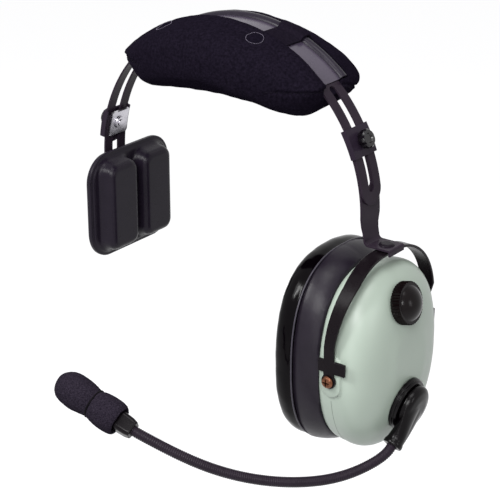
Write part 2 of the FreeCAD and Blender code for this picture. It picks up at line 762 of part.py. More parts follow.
def inlet_face():
    """Where the inlet's axis leaves the cup's side, in its widest plane."""
    c, s = sine(INLET_TURN), cosine(INLET_TURN)
    reach = ((c / CUP_Y) ** CUP_N + (s / CUP_ZH) ** CUP_N) ** (-1 / CUP_N)
    return V(CUP_X, 0, CUP_Z) + inlet_axis() * reach


def pivot_boss(side):
    """Raised pad under the stirrup's end, with a round top and bottom."""
    half = BOSS_L / 2 - BOSS_W / 2
    y, z = side * BOSS_Y - (BOSS_DEEP if side > 0 else 0), PIVOT_Z + BOSS_UP
    box = Part.makeBox(BOSS_W, BOSS_DEEP, 2 * half, V(PIVOT_X - BOSS_W / 2, y, z - half))
    ends = [pin(BOSS_W / 2, BOSS_DEEP, V(PIVOT_X, y, z + s * half), V(0, 1, 0)) for s in (-1, 1)]
    return joined([box] + ends)


def case_screw_places(x):
    """The four case screws' places in a plane of constant x."""
    return [V(x, y, CUP_Z + z) for y in (-CASE_SCREW_Y, CASE_SCREW_Y) for z in (-CASE_SCREW_Z, CASE_SCREW_Z)]


def dome_shell():
    """Moulded cup with its bosses, flat seats, screw posts and bores."""
    outer, hollow = cup_form(0), cup_form(CUP_WALL)
    knob, disc = knob_axis(), disc_axis()
    shell = outer.cut(hollow)
    thick = []
    for seat, axis, radius in ((knob_seat(), knob, KNOB_R), (disc_seat(), disc, DISC_R)):
        thick.append(pin(radius, SEAT_THICK, seat - axis * SEAT_THICK, axis).common(outer))
    for side in (-1, 1):
        thick.append(pivot_boss(side))
    for place in case_screw_places(RIM_X):
        thick.append(pin(POST_R, FACE_X - RIM_X, place, V(1, 0, 0)).common(outer))
    inlet = inlet_face()
    thick.append(pin(INLET_R + 1.5, 8, inlet - inlet_axis() * 8, inlet_axis()).common(outer))
    shell = joined([shell] + thick)
    cuts = []
    for seat, axis, radius in ((knob_seat(), knob, KNOB_R + 0.5), (disc_seat(), disc, DISC_R + 0.1)):
        cuts.append(pin(radius, 12, seat, axis))
    cuts.append(pin(POT_BUSH + SEAT, 12, knob_seat() - knob * 6, knob))
    cuts.append(pin(STUD_R + SEAT, 14, disc_seat() - disc * 8, disc))
    cuts.append(pin(PIVOT_R, 4 * STIRRUP_Y, V(PIVOT_X, -2 * STIRRUP_Y, PIVOT_Z), V(0, 1, 0)))
    cuts.append(pin(INLET_R - 1.2, 20, inlet - inlet_axis() * 12, inlet_axis()))
    cuts.append(pin(INLET_R + SLIDE, 8, inlet, inlet_axis()))
    cuts += [pin(POST_BORE, POST_DEEP, place, V(1, 0, 0)) for place in case_screw_places(RIM_X)]
    return shell.cut(cuts)


def flange_form(inset):
    """Outer form of the flange: flares from the cup's rim to the seal."""
    rim = cup_scale(RIM_X)
    near = (CUP_Y * rim + FLANGE_STEP - inset, CUP_ZH * rim + FLANGE_STEP - inset)
    far = (FLANGE_Y - inset, FLANGE_ZH - inset)
    wires = []
    for share, bulge in ((0.0, 0.0), (0.35, 0.62), (0.75, 0.94), (1.0, 1.0)):
        half_y = near[0] + (far[0] - near[0]) * bulge
        half_z = near[1] + (far[1] - near[1]) * bulge
        middle = CUP_Z + FLANGE_UP * bulge
        wires.append(oval(RIM_X - share * FLANGE_L, half_y, half_z, CUP_N + 0.1 * share, middle))
    return solid_loft(wires)


def ear_flange():
    """Moulded ring between the cup and the seal, with a web for the earphone."""
    ring = flange_form(0).cut(flange_form(FLANGE_WALL))
    inside = flange_form(FLANGE_WALL - 0.5)
    web = Part.makeBox(WEB_T, 200, 200, V(RIM_X - WEB_T, -100, CUP_Z - 100)).common(inside)
    web = web.cut(pin(EARPHONE_R + SEAT, 20, V(RIM_X - 10, 0, CUP_Z), V(1, 0, 0)))
    flange = joined([ring, web])
    places = case_screw_places(RIM_X - 1.5 * WEB_T)
    return flange.cut([pin(CASE_HOLE_R, 2 * WEB_T, place, V(1, 0, 0)) for place in places])


def case_screws():
    screws = []
    for base in case_screw_places(RIM_X - WEB_T):
        head = pin(CASE_HEAD_R, CASE_HEAD_T, base - V(CASE_HEAD_T, 0, 0), V(1, 0, 0))
        screws.append(joined([head, pin(POST_BORE, WEB_T + POST_DEEP - 1.0, base, V(1, 0, 0))]))
    return Part.Compound(screws)


def ear_seal():
    """Soft ring with a crowned, rounded section."""
    outer, inner = [], []
    middle = CUP_Z + SEAL_UP
    for share, grow in ((0.0, -0.9), (0.2, 0.1), (0.5, 0.0), (0.75, -1.6), (0.92, -4.6), (1.0, -9.0)):
        x = FLANGE_X - share * SEAL_L
        outer.append(oval(x, SEAL_Y + grow, SEAL_ZH + grow, SEAL_N, middle))
    for share, grow in ((0.0, 2.0), (0.25, 0.4), (0.5, 0.0), (0.75, 1.6), (0.92, 4.8), (1.0, 8.0)):
        x = FLANGE_X - share * SEAL_L
        inner.append(oval(x, SEAL_HOLE_Y + grow, SEAL_HOLE_Z + grow, SEAL_N, middle))
    return solid_loft(outer).cut(solid_loft(inner))


def baffle_plate():
    """Plate under the seal, with sound holes in front of the earphone."""
    inset = FLANGE_WALL + SEAT
    plate = Part.makeBox(BAFFLE_T, 200, 200, V(FLANGE_X, -100, CUP_Z - 100)).common(flange_form(inset))
    holes = []
    for ring, count in ((0, 1), (5.0, 6), (10.0, 12), (15.0, 18)):
        for i in range(count):
            turn = 360.0 * i / count
            place = V(FLANGE_X - 2, ring * cosine(turn), CUP_Z + ring * sine(turn))
            holes.append(pin(1.1, 6, place, V(1, 0, 0)))
    return plate.cut(holes)


def ear_liner():
    """Foam sheet over the baffle, inside the seal's opening."""
    low = oval(FLANGE_X - LINER_T, SEAL_HOLE_Y - SLIDE, SEAL_HOLE_Z - SLIDE, SEAL_N, CUP_Z + SEAL_UP)
    return Part.Face(low).extrude(V(LINER_T, 0, 0))


def earphone_x():
    return FLANGE_X + BAFFLE_T + SLIDE


def earphone_case():
    """Round housing, open at the back for the magnet."""
    base = V(earphone_x(), 0, CUP_Z)
    r, t = EARPHONE_R, EARPHONE_T
    return disc_profile([(0, 0), (r, 0), (r, t - 3), (r - 4, t), (MAGNET_R + SEAT, t), (MAGNET_R + SEAT, t - 1.2),
                         (r - 5, t - 1.2), (r - 1.5, t - 4), (r - 1.5, 3), (0, 3)], base, V(1, 0, 0))


def earphone_magnet():
    base = V(earphone_x() + 3, 0, CUP_Z)
    return pin(MAGNET_R, EARPHONE_T - 3 + MAGNET_T, base, V(1, 0, 0))


def amp_board():
    """Microphone amplifier's board, standing on the earphone's magnet."""
    x = earphone_x() + EARPHONE_T + MAGNET_T
    return Part.makeBox(BOARD_T, BOARD_Y, BOARD_Z, V(x, -BOARD_Y / 2, CUP_Z - BOARD_Z / 2))


def board_parts():
    """Trimmer, connector and capacitors on the board."""
    x = earphone_x() + EARPHONE_T + MAGNET_T + BOARD_T
    trimmer = Part.makeBox(3.5, 6, 6, V(x, -12, CUP_Z + 1))
    socket = Part.makeBox(3.0, 10, 4, V(x, 2, CUP_Z - 8))
    cans = [pin(2.0, 4.0, V(x, y, CUP_Z + 4), V(1, 0, 0)) for y in (1.0, 6.5)]
    return Part.Compound([trimmer, socket] + cans)


# Volume control

def volume_pot():
    """Potentiometer's can and its bushing through the cup."""
    axis, seat = knob_axis(), knob_seat()
    can = pin(POT_R, POT_L, seat - axis * (SEAT_THICK + POT_L), axis)
    bush = pin(POT_BUSH, SEAT_THICK + POT_NUT_T + 0.2, seat - axis * SEAT_THICK, axis)
    body = joined([can, bush])
    return body.cut(pin(POT_SHAFT + SHAFT, 2 * SEAT_THICK, seat - axis * SEAT_THICK, axis))


def hexagon(base, axis, radius, height):
    """Six-sided nut blank on a base point; the radius is to its corners."""
    side, up = V(0, 1, 0), axis.cross(V(0, 1, 0))
    corners = [base + side * (radius * cosine(60 * i)) + up * (radius * sine(60 * i)) for i in range(7)]
    return Part.Face(Part.makePolygon(corners)).extrude(axis * height)


def pot_nut():
    axis, seat = knob_axis(), knob_seat()
    return hexagon(seat, axis, POT_NUT_R, POT_NUT_T).cut(pin(POT_BUSH, 2 * POT_NUT_T, seat - axis * 0.5, axis))


def pot_shaft():
    axis, seat = knob_axis(), knob_seat()
    return pin(POT_SHAFT, 3.4 + KNOB_SKIRT, seat - axis * 2.4, axis)


def volume_knob():
    """Fluted skirt with a smooth domed cap, hollow below for the nut."""
    axis, seat = knob_axis(), knob_seat()
    base = seat + axis * SLIDE
    ball = (KNOB_CAP_R ** 2 + KNOB_CAP ** 2) / (2 * KNOB_CAP)
    skirt = pin(KNOB_R, KNOB_SKIRT, base, axis)
    top = base + axis * KNOB_SKIRT
    cap = Part.makeSphere(ball, top + axis * (KNOB_CAP - ball)).common(pin(KNOB_CAP_R, 2 * ball, top, axis))
    knob = joined([skirt, cap])
    side, up = V(0, 1, 0), axis.cross(V(0, 1, 0))
    flutes = []
    for i in range(KNOB_FLUTES):
        turn = 360.0 * i / KNOB_FLUTES
        place = base + (side * cosine(turn) + up * sine(turn)) * (KNOB_R + KNOB_FLUTE_R / 2) - axis
        flutes.append(pin(KNOB_FLUTE_R, KNOB_SKIRT + 2, place, axis))
    knob = knob.cut(flutes)
    knob = knob.cut(pin(KNOB_HOLLOW_R, KNOB_HOLLOW, base - axis * 0.1, axis))
    return knob.cut(pin(POT_SHAFT, KNOB_SKIRT + 0.8, base - axis * 0.1, axis))


# Microphone arm

def arm_frame():
    """Disc's base point, axis, the sleeve's direction and its end."""
    axis = disc_axis()
    down = V(-sine(DISC_TILT), 0, -cosine(DISC_TILT))
    along = down * cosine(HOLDER_TURN) + V(0, -1, 0) * sine(HOLDER_TURN)
    seat = disc_seat()
    head = seat + axis * (DISC_T + SLEEVE_H)
    return seat, axis, along, head, head + along * SLEEVE_L


def boom_disc():
    """Fixed disc on the cup, with a round groove below its rim."""
    seat, axis = arm_frame()[:2]
    r, t = DISC_R, DISC_T
    disc = disc_profile([(STUD_R + SHAFT, 0), (r, 0), (r, 1.6), (r - 0.5, 2.0), (r - 0.2, 2.6), (r - 1.0, t),
                         (STUD_R + SHAFT, t)], seat, axis)
    return disc


def boom_holder():
    """Round head and sleeve in one moulding, like a drop."""
    seat, axis, along, head, end = arm_frame()
    base = seat + axis * (DISC_T + SLIDE)
    r, t = HOLDER_R, HOLDER_T - DISC_T
    crown = disc_profile([(0, 0), (r, 0), (r, t * 0.35), (r * 0.96, t * 0.62), (r * 0.82, t * 0.85),
                          (r * 0.5, t), (0, t)], base, axis)
    side = axis.cross(along)
    deep = SLEEVE_H - SLIDE
    rings = []
    for share, width, height in HOLDER_BLEND:
        low = deep + (SLEEVE_R - deep) * (share / HOLDER_BLEND[-1][0]) ** 3
        middle = head + along * (SLEEVE_L * share) + axis * ((height - low) / 2)
        rings.append(sleeve_ring(middle, side, axis, width, (height + low) / 2))
    rings.append(sleeve_ring(end, side, axis, SLEEVE_R, SLEEVE_R))
    lip = pin(SLEEVE_R + SLEEVE_LIP, SLEEVE_LIP_L, end - along * SLEEVE_LIP_L, along)
    under = pin(DISC_R + SLIDE + 0.2, 20, seat + axis * (DISC_T + SLIDE - 20), axis)
    holder = joined([crown, solid_loft(rings).cut(under), lip])
    holder = holder.cut(pin(NECK_R + NECK_RIB + SEAT, NECK_SEAT + 1, end - along * NECK_SEAT, along))
    return holder.cut(pin(STUD_R, 3.0, base - axis * 0.1, axis))


def sleeve_ring(middle, side, axis, half_width, half_height):
    """Oval wire square to the sleeve."""
    points = []
    for i in range(8):
        c, s = cosine(45.0 * i), sine(45.0 * i)
        points.append(middle + side * (half_width * c) + axis * (half_height * s))
    return three_point(points)


def boom_stud():
    seat, axis = arm_frame()[:2]
    top = DISC_T + SLIDE + 2.9
    return pin(STUD_R, top + STUD_L, seat - axis * STUD_L, axis)


def boom_washer():
    seat, axis = arm_frame()[:2]
    return tube(STUD_WASHER_R, STUD_R + SHAFT, STUD_WASHER_T, seat - axis * STUD_WASHER_AT, axis)


def boom_nut():
    seat, axis = arm_frame()[:2]
    base = seat - axis * (STUD_WASHER_AT + SEAT + STUD_NUT_T)
    return hexagon(base, axis, STUD_NUT_R, STUD_NUT_T).cut(pin(STUD_R, 2 * STUD_NUT_T, base - axis, axis))


def unit(vector):
    copy = V(vector)
    return copy.normalize()


def neck_curve():
    """Gooseneck's curve from the sleeve's end to the microphone."""
    along, end = arm_frame()[2], arm_frame()[4]
    places = [end + along * NECK_LEAD] + [end + V(*step) for step in NECK_ROUTE] + [end + V(*NECK_END)]
    curve = Part.BSplineCurve()
    curve.interpolate(Points=places, InitialTangent=along, FinalTangent=unit(V(*MIC_AXIS)))
    return curve


def ring_at(place, direction, radius):
    """Circle square to a direction, with its seam kept to one side."""
    across = unit(V(0, 0, 1).cross(direction))
    circle = Part.Circle(place, direction, radius)
    circle.XAxis = across
    return Part.Wire(circle.toShape())


def neck_places(steps):
    """Even steps along the curve: (point, direction)."""
    curve = neck_curve()
    length = curve.length()
    found = []
    for i in range(steps + 1):
        t = curve.parameterAtDistance(length * i / steps, curve.FirstParameter)
        found.append((curve.value(t), unit(curve.tangent(t)[0])))
    return found


def gooseneck():
    """Ribbed tube with its bore, straight at both ends."""
    along, end = arm_frame()[2], arm_frame()[4]
    mic = unit(V(*MIC_AXIS))
    per_rib = 4
    places = neck_places(NECK_RIBS * per_rib)
    rings = [ring_at(end - along * (NECK_SEAT - 0.5), along, NECK_R)]
    bore = [ring_at(end - along * (NECK_SEAT + 1), along, NECK_BORE)]
    for i, (place, direction) in enumerate(places):
        high = NECK_RIB if i % per_rib in (1, 2) else 0.0
        rings.append(ring_at(place, direction, NECK_R + high))
        if i % 10 == 0:
            bore.append(ring_at(place, direction, NECK_BORE))
    last = places[-1][0]
    rings.append(ring_at(last + mic * (2 * NECK_R), mic, NECK_R))
    bore.append(ring_at(last + mic * (2 * NECK_R + 2), mic, NECK_BORE))
    return solid_loft(rings, ruled=True).cut(solid_loft(bore, ruled=True))


# Microphone

def mic_place():
    end = arm_frame()[4]
    return end + V(*NECK_END)


def mic_section(distance, share, inset=0.0):
    axis = unit(V(*MIC_AXIS))
    half_w, half_h = (MIC_W / 2) * share - inset, (MIC_H / 2) * share - inset
    turn = FreeCAD.Rotation(V(1, 0, 0), axis)
    placement = FreeCAD.Placement(mic_place() + axis * distance, turn)
    return rounded_wire(half_w, half_h, min(half_w, half_h) * 0.5, placement)


def mic_housing():
    """Tapered case round the gooseneck's end and the capsule."""
    axis = unit(V(*MIC_AXIS))
    case = solid_loft([mic_section(0, MIC_REAR), mic_section(2.5, 0.95), mic_section(7, 1.0),
                       mic_section(MIC_L, 1.0)],
                      ruled=True)
    room = solid_loft([mic_section(8, 1.0, MIC_WALL), mic_section(MIC_L + 1, 1.0, MIC_WALL)], ruled=True)
    neck = pin(NECK_R + SEAT, 12, mic_place() - axis, axis)
    return case.cut(room).cut(neck)


def mic_cap():
    """Front cover of the case, with a sound slot."""
    axis = unit(V(*MIC_AXIS))
    cap = solid_loft([mic_section(MIC_L, 1.0), mic_section(MIC_L + 1.6, 0.96)], ruled=True)
    ports = [pin(0.7, 5, mic_place() + axis * (MIC_L - 1) + V(0, shift, 0), axis) for shift in (-2.0, 0.0, 2.0)]
    return cap.cut(ports)


def mic_capsule():
    axis = unit(V(*MIC_AXIS))
    return pin(CAPSULE_R, CAPSULE_L, mic_place() + axis * (MIC_L - SEAT - CAPSULE_L), axis)


def foam_profile():
    """(radius, length) points of the windscreen's side, rear to tip."""
    waist, full = FOAM_WAIST_AT, FOAM_L
    return [(FOAM_MOUTH + 0.5, 0.0), (FOAM_R - 0.9, 1.4), (FOAM_R + 0.1, waist * 0.45),
            (FOAM_R - 0.4, waist * 0.78), (FOAM_WAIST, waist), (FOAM_R - 0.5, waist + 3.6),
            (FOAM_R, waist + 11.0), (FOAM_R * 0.9, full - 4.6), (FOAM_R * 0.56, full - 1.2), (0.0, full)]


def windscreen():
    """Foam sock: two lobes with a waist, pushed over the microphone."""
    axis = unit(V(*MIC_AXIS))
    points = [V(r, 0, h) for r, h in foam_profile()]
    rear, tip = [], []
    side = Part.BSplineCurve()
    side.interpolate(Points=points[:5])
    rear.append(side.toShape())
    front = Part.BSplineCurve()
    front.interpolate(Points=points[4:], InitialTangent=V(0.5, 0, 1), FinalTangent=V(-1, 0, 0))
    tip.append(front.toShape())
    lines = [Part.makeLine(points[-1], V(0, 0, 0)), Part.makeLine(V(0, 0, 0), points[0])]
    face = Part.Face(Part.Wire(rear + tip + lines))
    body = face.revolve(V(0, 0, 0), V(0, 0, 1), 360)
    start = mic_place() + axis * FOAM_FROM
    body.Placement = FreeCAD.Placement(start, FreeCAD.Rotation(V(0, 0, 1), axis))
    mouth = pin(FOAM_MOUTH, 5.0, start - axis, axis)
    sections = [mic_section(FOAM_FROM + 3, 1.0, -SLIDE), mic_section(MIC_L + 2.2, 1.0, -SLIDE)]
    room = solid_loft(sections, ruled=True)
    return body.cut(mouth).cut(room)


def windscreen_tie():
    """Rubber ring in the windscreen's waist."""
    axis = unit(V(*MIC_AXIS))
    place = mic_place() + axis * (FOAM_FROM + FOAM_WAIST_AT)
    return Part.makeTorus(FOAM_WAIST + TIE_R + SEAT, TIE_R, place, axis)


# Temple pad

def backing_x():
    return hinge_place().x + HINGE_OFF


def temple_plate():
    """Steel plate behind the rubber, with the two hinge ears bent back from it."""
    x, z = backing_x(), hinge_place().z
    wire = rounded_wire(BACKING_Y, BACKING_Z, 6.0, at_x(x, TEMPLE_MIDDLE_Y, z))
    plate = Part.Face(wire).extrude(V(BACKING_T, 0, 0))
    pieces = [plate]
    for side in (-1, 1):
        y = side * (ARM_W / 2 + SLIDE) - (EAR_T if side < 0 else 0)
        reach = HINGE_EYE + 0.5
        tab = Part.makeBox(HINGE_OFF + BACKING_T / 2, EAR_T, 2 * reach, hinge_place(y) - V(0, 0, reach))
        nose = pin(reach, EAR_T, hinge_place(y), V(0, 1, 0))
        pieces += [tab, nose]
    body = joined(pieces)
    body = body.cut(pin(HINGE_PIN + SHAFT, 4 * ARM_W, hinge_place(-2 * ARM_W), V(0, 1, 0)))
    return body.cut([pin(1.2, 10, place, V(1, 0, 0)) for place in pad_rivet_places(-5)])


def pad_rivet_places(offset):
    x, z = backing_x() + offset, hinge_place().z
    return [V(x, TEMPLE_MIDDLE_Y, z + step) for step in (-PAD_RIVET_Z, PAD_RIVET_Z)]


def pad_rivets():
    """Rivets that hold the rubber pad on its plate."""
    rivets = []
    for place in pad_rivet_places(0):
        head = disc_profile([(0, 0), (PAD_RIVET_R, 0), (PAD_RIVET_R * 0.7, 0.8), (0, 0.9)], place, V(-1, 0, 0))
        shank = pin(1.2, BACKING_T + TEMPLE_SHEET - 1.0, place, V(1, 0, 0))
        rivets.append(joined([head, shank]))
    return Part.Compound(rivets)


def hinge_pin():
    half = ARM_W / 2 + SLIDE + EAR_T + 0.6
    return pin(HINGE_PIN, 2 * half, hinge_place(-half), V(0, 1, 0))


def temple_pad():
    """Moulded rubber sheet with a raised rim and two upright bars."""
    back = backing_x() + BACKING_T
    front = back + TEMPLE_SHEET
    y, z = TEMPLE_MIDDLE_Y, hinge_place().z
    sheet = solid_loft([
        rounded_wire(TEMPLE_HALF_Y - 1, TEMPLE_HALF_Z - 1, TEMPLE_CORNER, at_x(back, y, z)),
        rounded_wire(TEMPLE_HALF_Y, TEMPLE_HALF_Z, TEMPLE_CORNER, at_x(back + 1.2, y, z)),
        rounded_wire(TEMPLE_HALF_Y, TEMPLE_HALF_Z, TEMPLE_CORNER, at_x(front, y, z)),
    ], ruled=True)
    rim = Part.Face(rounded_wire(TEMPLE_HALF_Y - 2.2, TEMPLE_HALF_Z - 2.2, TEMPLE_CORNER - 2, at_x(front, y, z)))
    pieces = [sheet, rim.extrude(V(TEMPLE_RIM, 0, 0))]
    for side in (-1, 1):
        middle = y + side * BAR_PITCH / 2
        bar = [(0.0, BAR_W, BAR_L, 8.0), (0.30, BAR_FACE_W + 2.4, BAR_FACE_L + 3.0, 7.0),
               (0.72, BAR_FACE_W + 0.8, BAR_FACE_L + 1.0, 5.5), (0.92, BAR_FACE_W - 1.4, BAR_FACE_L - 1.4, 4.5),
               (1.0, BAR_FACE_W - 4.4, BAR_FACE_L - 4.4, 3.5)]
        wires = [rounded_wire(w / 2, l / 2, c, at_x(front + s * BAR_RISE, middle, z)) for s, w, l, c in bar]
        pieces.append(solid_loft(wires, ruled=True))
    pad = joined(pieces)
    sockets = [pin(1.2, TEMPLE_SHEET - 1.0, place, V(1, 0, 0)) for place in pad_rivet_places(BACKING_T)]
    return pad.cut(sockets)


# Cord inlet

def cord_gland():
    """Threaded collar that the lead goes through; its bore is the interface."""
    axis, face = inlet_axis(), inlet_face()
    collar = pin(INLET_R, INLET_COLLAR, face + axis * SEAT, axis)
    thread = pin(INLET_R - 1.2 - SHAFT, INLET_THREAD + SEAT, face - axis * INLET_THREAD, axis)
    length = INLET_THREAD + INLET_COLLAR + 2
    return joined([collar, thread]).cut(pin(INLET_BORE, length, face - axis * (INLET_THREAD + 1), axis))


def acoustic_foam():
    """Damping foam behind the earphone, cut to clear the parts in the cup."""
    low = earphone_x() + EARPHONE_T + 1.0
    thick = V(FOAM_RING_T, 0, 0)
    ring = Part.Face(oval(low, FOAM_RING_Y, FOAM_RING_Z, CUP_N, CUP_Z)).extrude(thick)
    room = Part.Face(oval(low, FOAM_ROOM_Y, FOAM_ROOM_Z, CUP_N, CUP_Z)).extrude(thick)
    posts = [pin(POST_R + SEAT + SLIDE, CUP_DEPTH, place, V(1, 0, 0)) for place in case_screw_places(RIM_X)]
    return ring.cut([room] + posts)


PARTS = {
    "spring_band": spring_band,
    "channel_cover": channel_cover,
    "crown_pad": crown_pad,
    "pad_snaps": pad_snaps,
    "cover_strap": cover_strap,
    "right_arm_strap": right_arm,
    "right_clamp_plate": lambda: clamp_plate(CLAMP_RIGHT),
    "right_nut_plate": lambda: nut_plate(CLAMP_RIGHT),
    "right_clamp_screw": lambda: clamp_screw(CLAMP_RIGHT),
    "right_clamp_grip": lambda: clamp_grip(CLAMP_RIGHT),
    "left_arm_strap": left_arm,
    "left_clamp_plate": lambda: clamp_plate(CLAMP_LEFT),
    "left_nut_plate": lambda: nut_plate(CLAMP_LEFT),
    "left_clamp_screw": lambda: clamp_screw(CLAMP_LEFT),
    "left_clamp_grip": lambda: clamp_grip(CLAMP_LEFT),
    "swivel_rivet": swivel_rivet,
    "swivel_washer": swivel_washer,
    "stirrup": stirrup,
    "pivot_screws": pivot_screws,
    "dome_shell": dome_shell,
    "ear_flange": ear_flange,
    "case_screws": case_screws,
    "ear_seal": ear_seal,
    "baffle_plate": baffle_plate,
    "ear_liner": ear_liner,
    "earphone_case": earphone_case,
    "earphone_magnet": earphone_magnet,
    "amp_board": amp_board,
    "board_parts": board_parts,
    "acoustic_foam": acoustic_foam,
    "volume_pot": volume_pot,
    "pot_nut": pot_nut,
    "pot_shaft": pot_shaft,
    "volume_knob": volume_knob,
    "boom_disc": boom_disc,
    "boom_holder": boom_holder,
    "boom_stud": boom_stud,
    "boom_washer": boom_washer,
    "boom_nut": boom_nut,
    "gooseneck": gooseneck,
    "mic_housing": mic_housing,
    "mic_cap": mic_cap,
    "mic_capsule": mic_capsule,
    "windscreen": windscreen,
    "windscreen_tie": windscreen_tie,
    "temple_plate": temple_plate,
    "pad_rivets": pad_rivets,
    "hinge_pin": hinge_pin,
    "temple_pad": temple_pad,
    "cord_gland": cord_gland,
}

os.makedirs("parts", exist_ok=True)
for name, build in PARTS.items():
    shape = build()
    shape.exportStep("parts/" + name + ".step")
    print(name, len(shape.Solids), round(shape.Volume, 1), shape.isValid())
print("neck length", round(neck_curve().length(), 1), "cup middle z", round(CUP_Z, 1))
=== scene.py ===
"""Aviation headset with one ear cup, a flexible microphone arm and a temple pad."""

import logging
import math
from dataclasses import dataclass, field
from enum import Enum
from typing import Callable, Sequence

import bmesh
import bpy
import numpy as np
from mathutils import Matrix, Vector, noise
from mathutils.bvhtree import BVHTree


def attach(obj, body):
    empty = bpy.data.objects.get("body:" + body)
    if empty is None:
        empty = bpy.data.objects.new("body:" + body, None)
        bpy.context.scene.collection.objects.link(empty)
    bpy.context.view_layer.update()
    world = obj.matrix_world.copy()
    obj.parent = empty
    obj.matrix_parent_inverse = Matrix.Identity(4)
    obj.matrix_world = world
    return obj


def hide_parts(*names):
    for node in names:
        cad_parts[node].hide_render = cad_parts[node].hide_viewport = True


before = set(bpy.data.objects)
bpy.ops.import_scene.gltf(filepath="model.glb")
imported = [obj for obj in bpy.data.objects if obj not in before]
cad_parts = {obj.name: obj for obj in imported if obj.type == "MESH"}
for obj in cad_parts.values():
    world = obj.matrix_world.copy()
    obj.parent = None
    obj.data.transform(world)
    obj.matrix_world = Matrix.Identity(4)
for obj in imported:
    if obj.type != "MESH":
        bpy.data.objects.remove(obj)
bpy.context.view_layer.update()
MM = 0.001
LOG = logging.getLogger("headset")
RGB = tuple[int, int, int]
Ring = list[Vector]


def linear(colour: RGB) -> tuple[float, float, float, float]:
    """Turns a screen colour into the linear one that shaders take."""
    found = []
    for channel in colour:
        share = channel / 255
        found.append(share / 12.92 if share <= 0.04045 else ((share + 0.055) / 1.055) ** 2.4)
    return (found[0], found[1], found[2], 1.0)


def smooth(share: float) -> float:
    """Eases a share from 0 to 1, held at both ends."""
    held = min(max(share, 0.0), 1.0)
    return held * held * (3 - 2 * held)


def rounded(share: float, blunt: float) -> float:
    """Gives the height of a rounded end at a share of its length. A higher blunt makes a squarer end."""
    return (1 - share ** blunt) ** (1 / blunt)


def power(value: float, exponent: float) -> float:
    """Raises a value's size to an exponent and keeps its sign."""
    return math.copysign(abs(value) ** exponent, value)


class Grain(Enum):
    """What a finish's small relief looks like."""

    PLAIN = "plain"
    FINE = "fine"
    PORES = "pores"
    NAP = "nap"
    WEAVE = "weave"
    BRUSHED = "brushed"


@dataclass
class Shader:
    """A node material while it is put together."""

    name: str
    material: bpy.types.Material = field(init=False)

    def __post_init__(self) -> None:
        """Opens the material with its one surface node."""
        self.material = bpy.data.materials.new(self.name)
        self.material.use_nodes = True
        self.tree = self.material.node_tree
        self.surface = self.tree.nodes["Principled BSDF"]
        self.place = self.tree.nodes.new("ShaderNodeTexCoord").outputs["Object"]

    def node(self, kind: str, **settings: object) -> bpy.types.Node:
        """Adds a node.

        Args:
            kind: The node's type name.
            **settings: Its properties.

        Returns:
            The new node.
        """
        made = self.tree.nodes.new(kind)
        for key, value in settings.items():
            setattr(made, key, value)
        return made

    def feed(self, node: bpy.types.Node, **values: object) -> None:
        """Sets a node's inputs by name, with underscores for spaces, or links them to an output."""
        for key, value in values.items():
            socket = node.inputs[key.replace("_", " ")]
            if isinstance(value, bpy.types.NodeSocket):
                self.tree.links.new(value, socket)
            else:
                socket.default_value = value

    def stretched(self, scale: tuple[float, float, float]) -> bpy.types.NodeSocket:
        """Gives object coordinates stretched along each axis."""
        mapping = self.node("ShaderNodeMapping")
        self.feed(mapping, Vector=self.place, Scale=scale)
        return mapping.outputs["Vector"]

    def cloud(self, size: float, detail: float = 3.0, place: bpy.types.NodeSocket | None = None,
              roughness: float = 0.55) -> bpy.types.NodeSocket:
        """Makes soft noise.

        Args:
            size: Width of one cloud in millimetres.
            detail: Octaves of finer noise.
            place: Coordinates other than the object's own.
            roughness: How strong the finer octaves are.

        Returns:
            The noise from 0 to 1.
        """
        texture = self.node("ShaderNodeTexNoise")
        self.feed(texture, Vector=place or self.place, Scale=1.0 / (size * MM), Detail=detail,
                  Roughness=roughness)
        return texture.outputs["Fac"]

    def cells(self, size: float, place: bpy.types.NodeSocket | None = None) -> bpy.types.NodeSocket:
        """Makes cells of a width in millimetres, as the distance from each middle."""
        texture = self.node("ShaderNodeTexVoronoi")
        self.feed(texture, Vector=place or self.place, Scale=1.0 / (size * MM))
        return texture.outputs["Distance"]

    def ramp(self, source: bpy.types.NodeSocket, low: float, high: float, start: float, end: float,
             ) -> bpy.types.NodeSocket:
        """Maps a source from one range to another, held at both ends."""
        mapped = self.node("ShaderNodeMapRange")
        self.tree.links.new(source, mapped.inputs["Value"])
        self.feed(mapped, From_Min=low, From_Max=high, To_Min=start, To_Max=end)
        return mapped.outputs["Result"]

    def blend(self, share: bpy.types.NodeSocket, first: object, second: object) -> bpy.types.NodeSocket:
        """Blends two colours by a share."""
        mix = self.node("ShaderNodeMix", data_type="RGBA")
        self.tree.links.new(share, mix.inputs["Factor"])
        for socket, value in ((mix.inputs[6], first), (mix.inputs[7], second)):
            if isinstance(value, bpy.types.NodeSocket):
                self.tree.links.new(value, socket)
            else:
                socket.default_value = value
        return mix.outputs[2]

    def relief(self, height: bpy.types.NodeSocket, depth: float, under: bpy.types.NodeSocket | None = None,
               ) -> bpy.types.NodeSocket:
        """Turns a height into a bumped normal, with the depth in millimetres."""
        bump = self.node("ShaderNodeBump")
        self.feed(bump, Strength=1.0, Distance=depth * MM, Height=height)
        if under is not None:
            self.feed(bump, Normal=under)
        return bump.outputs["Normal"]


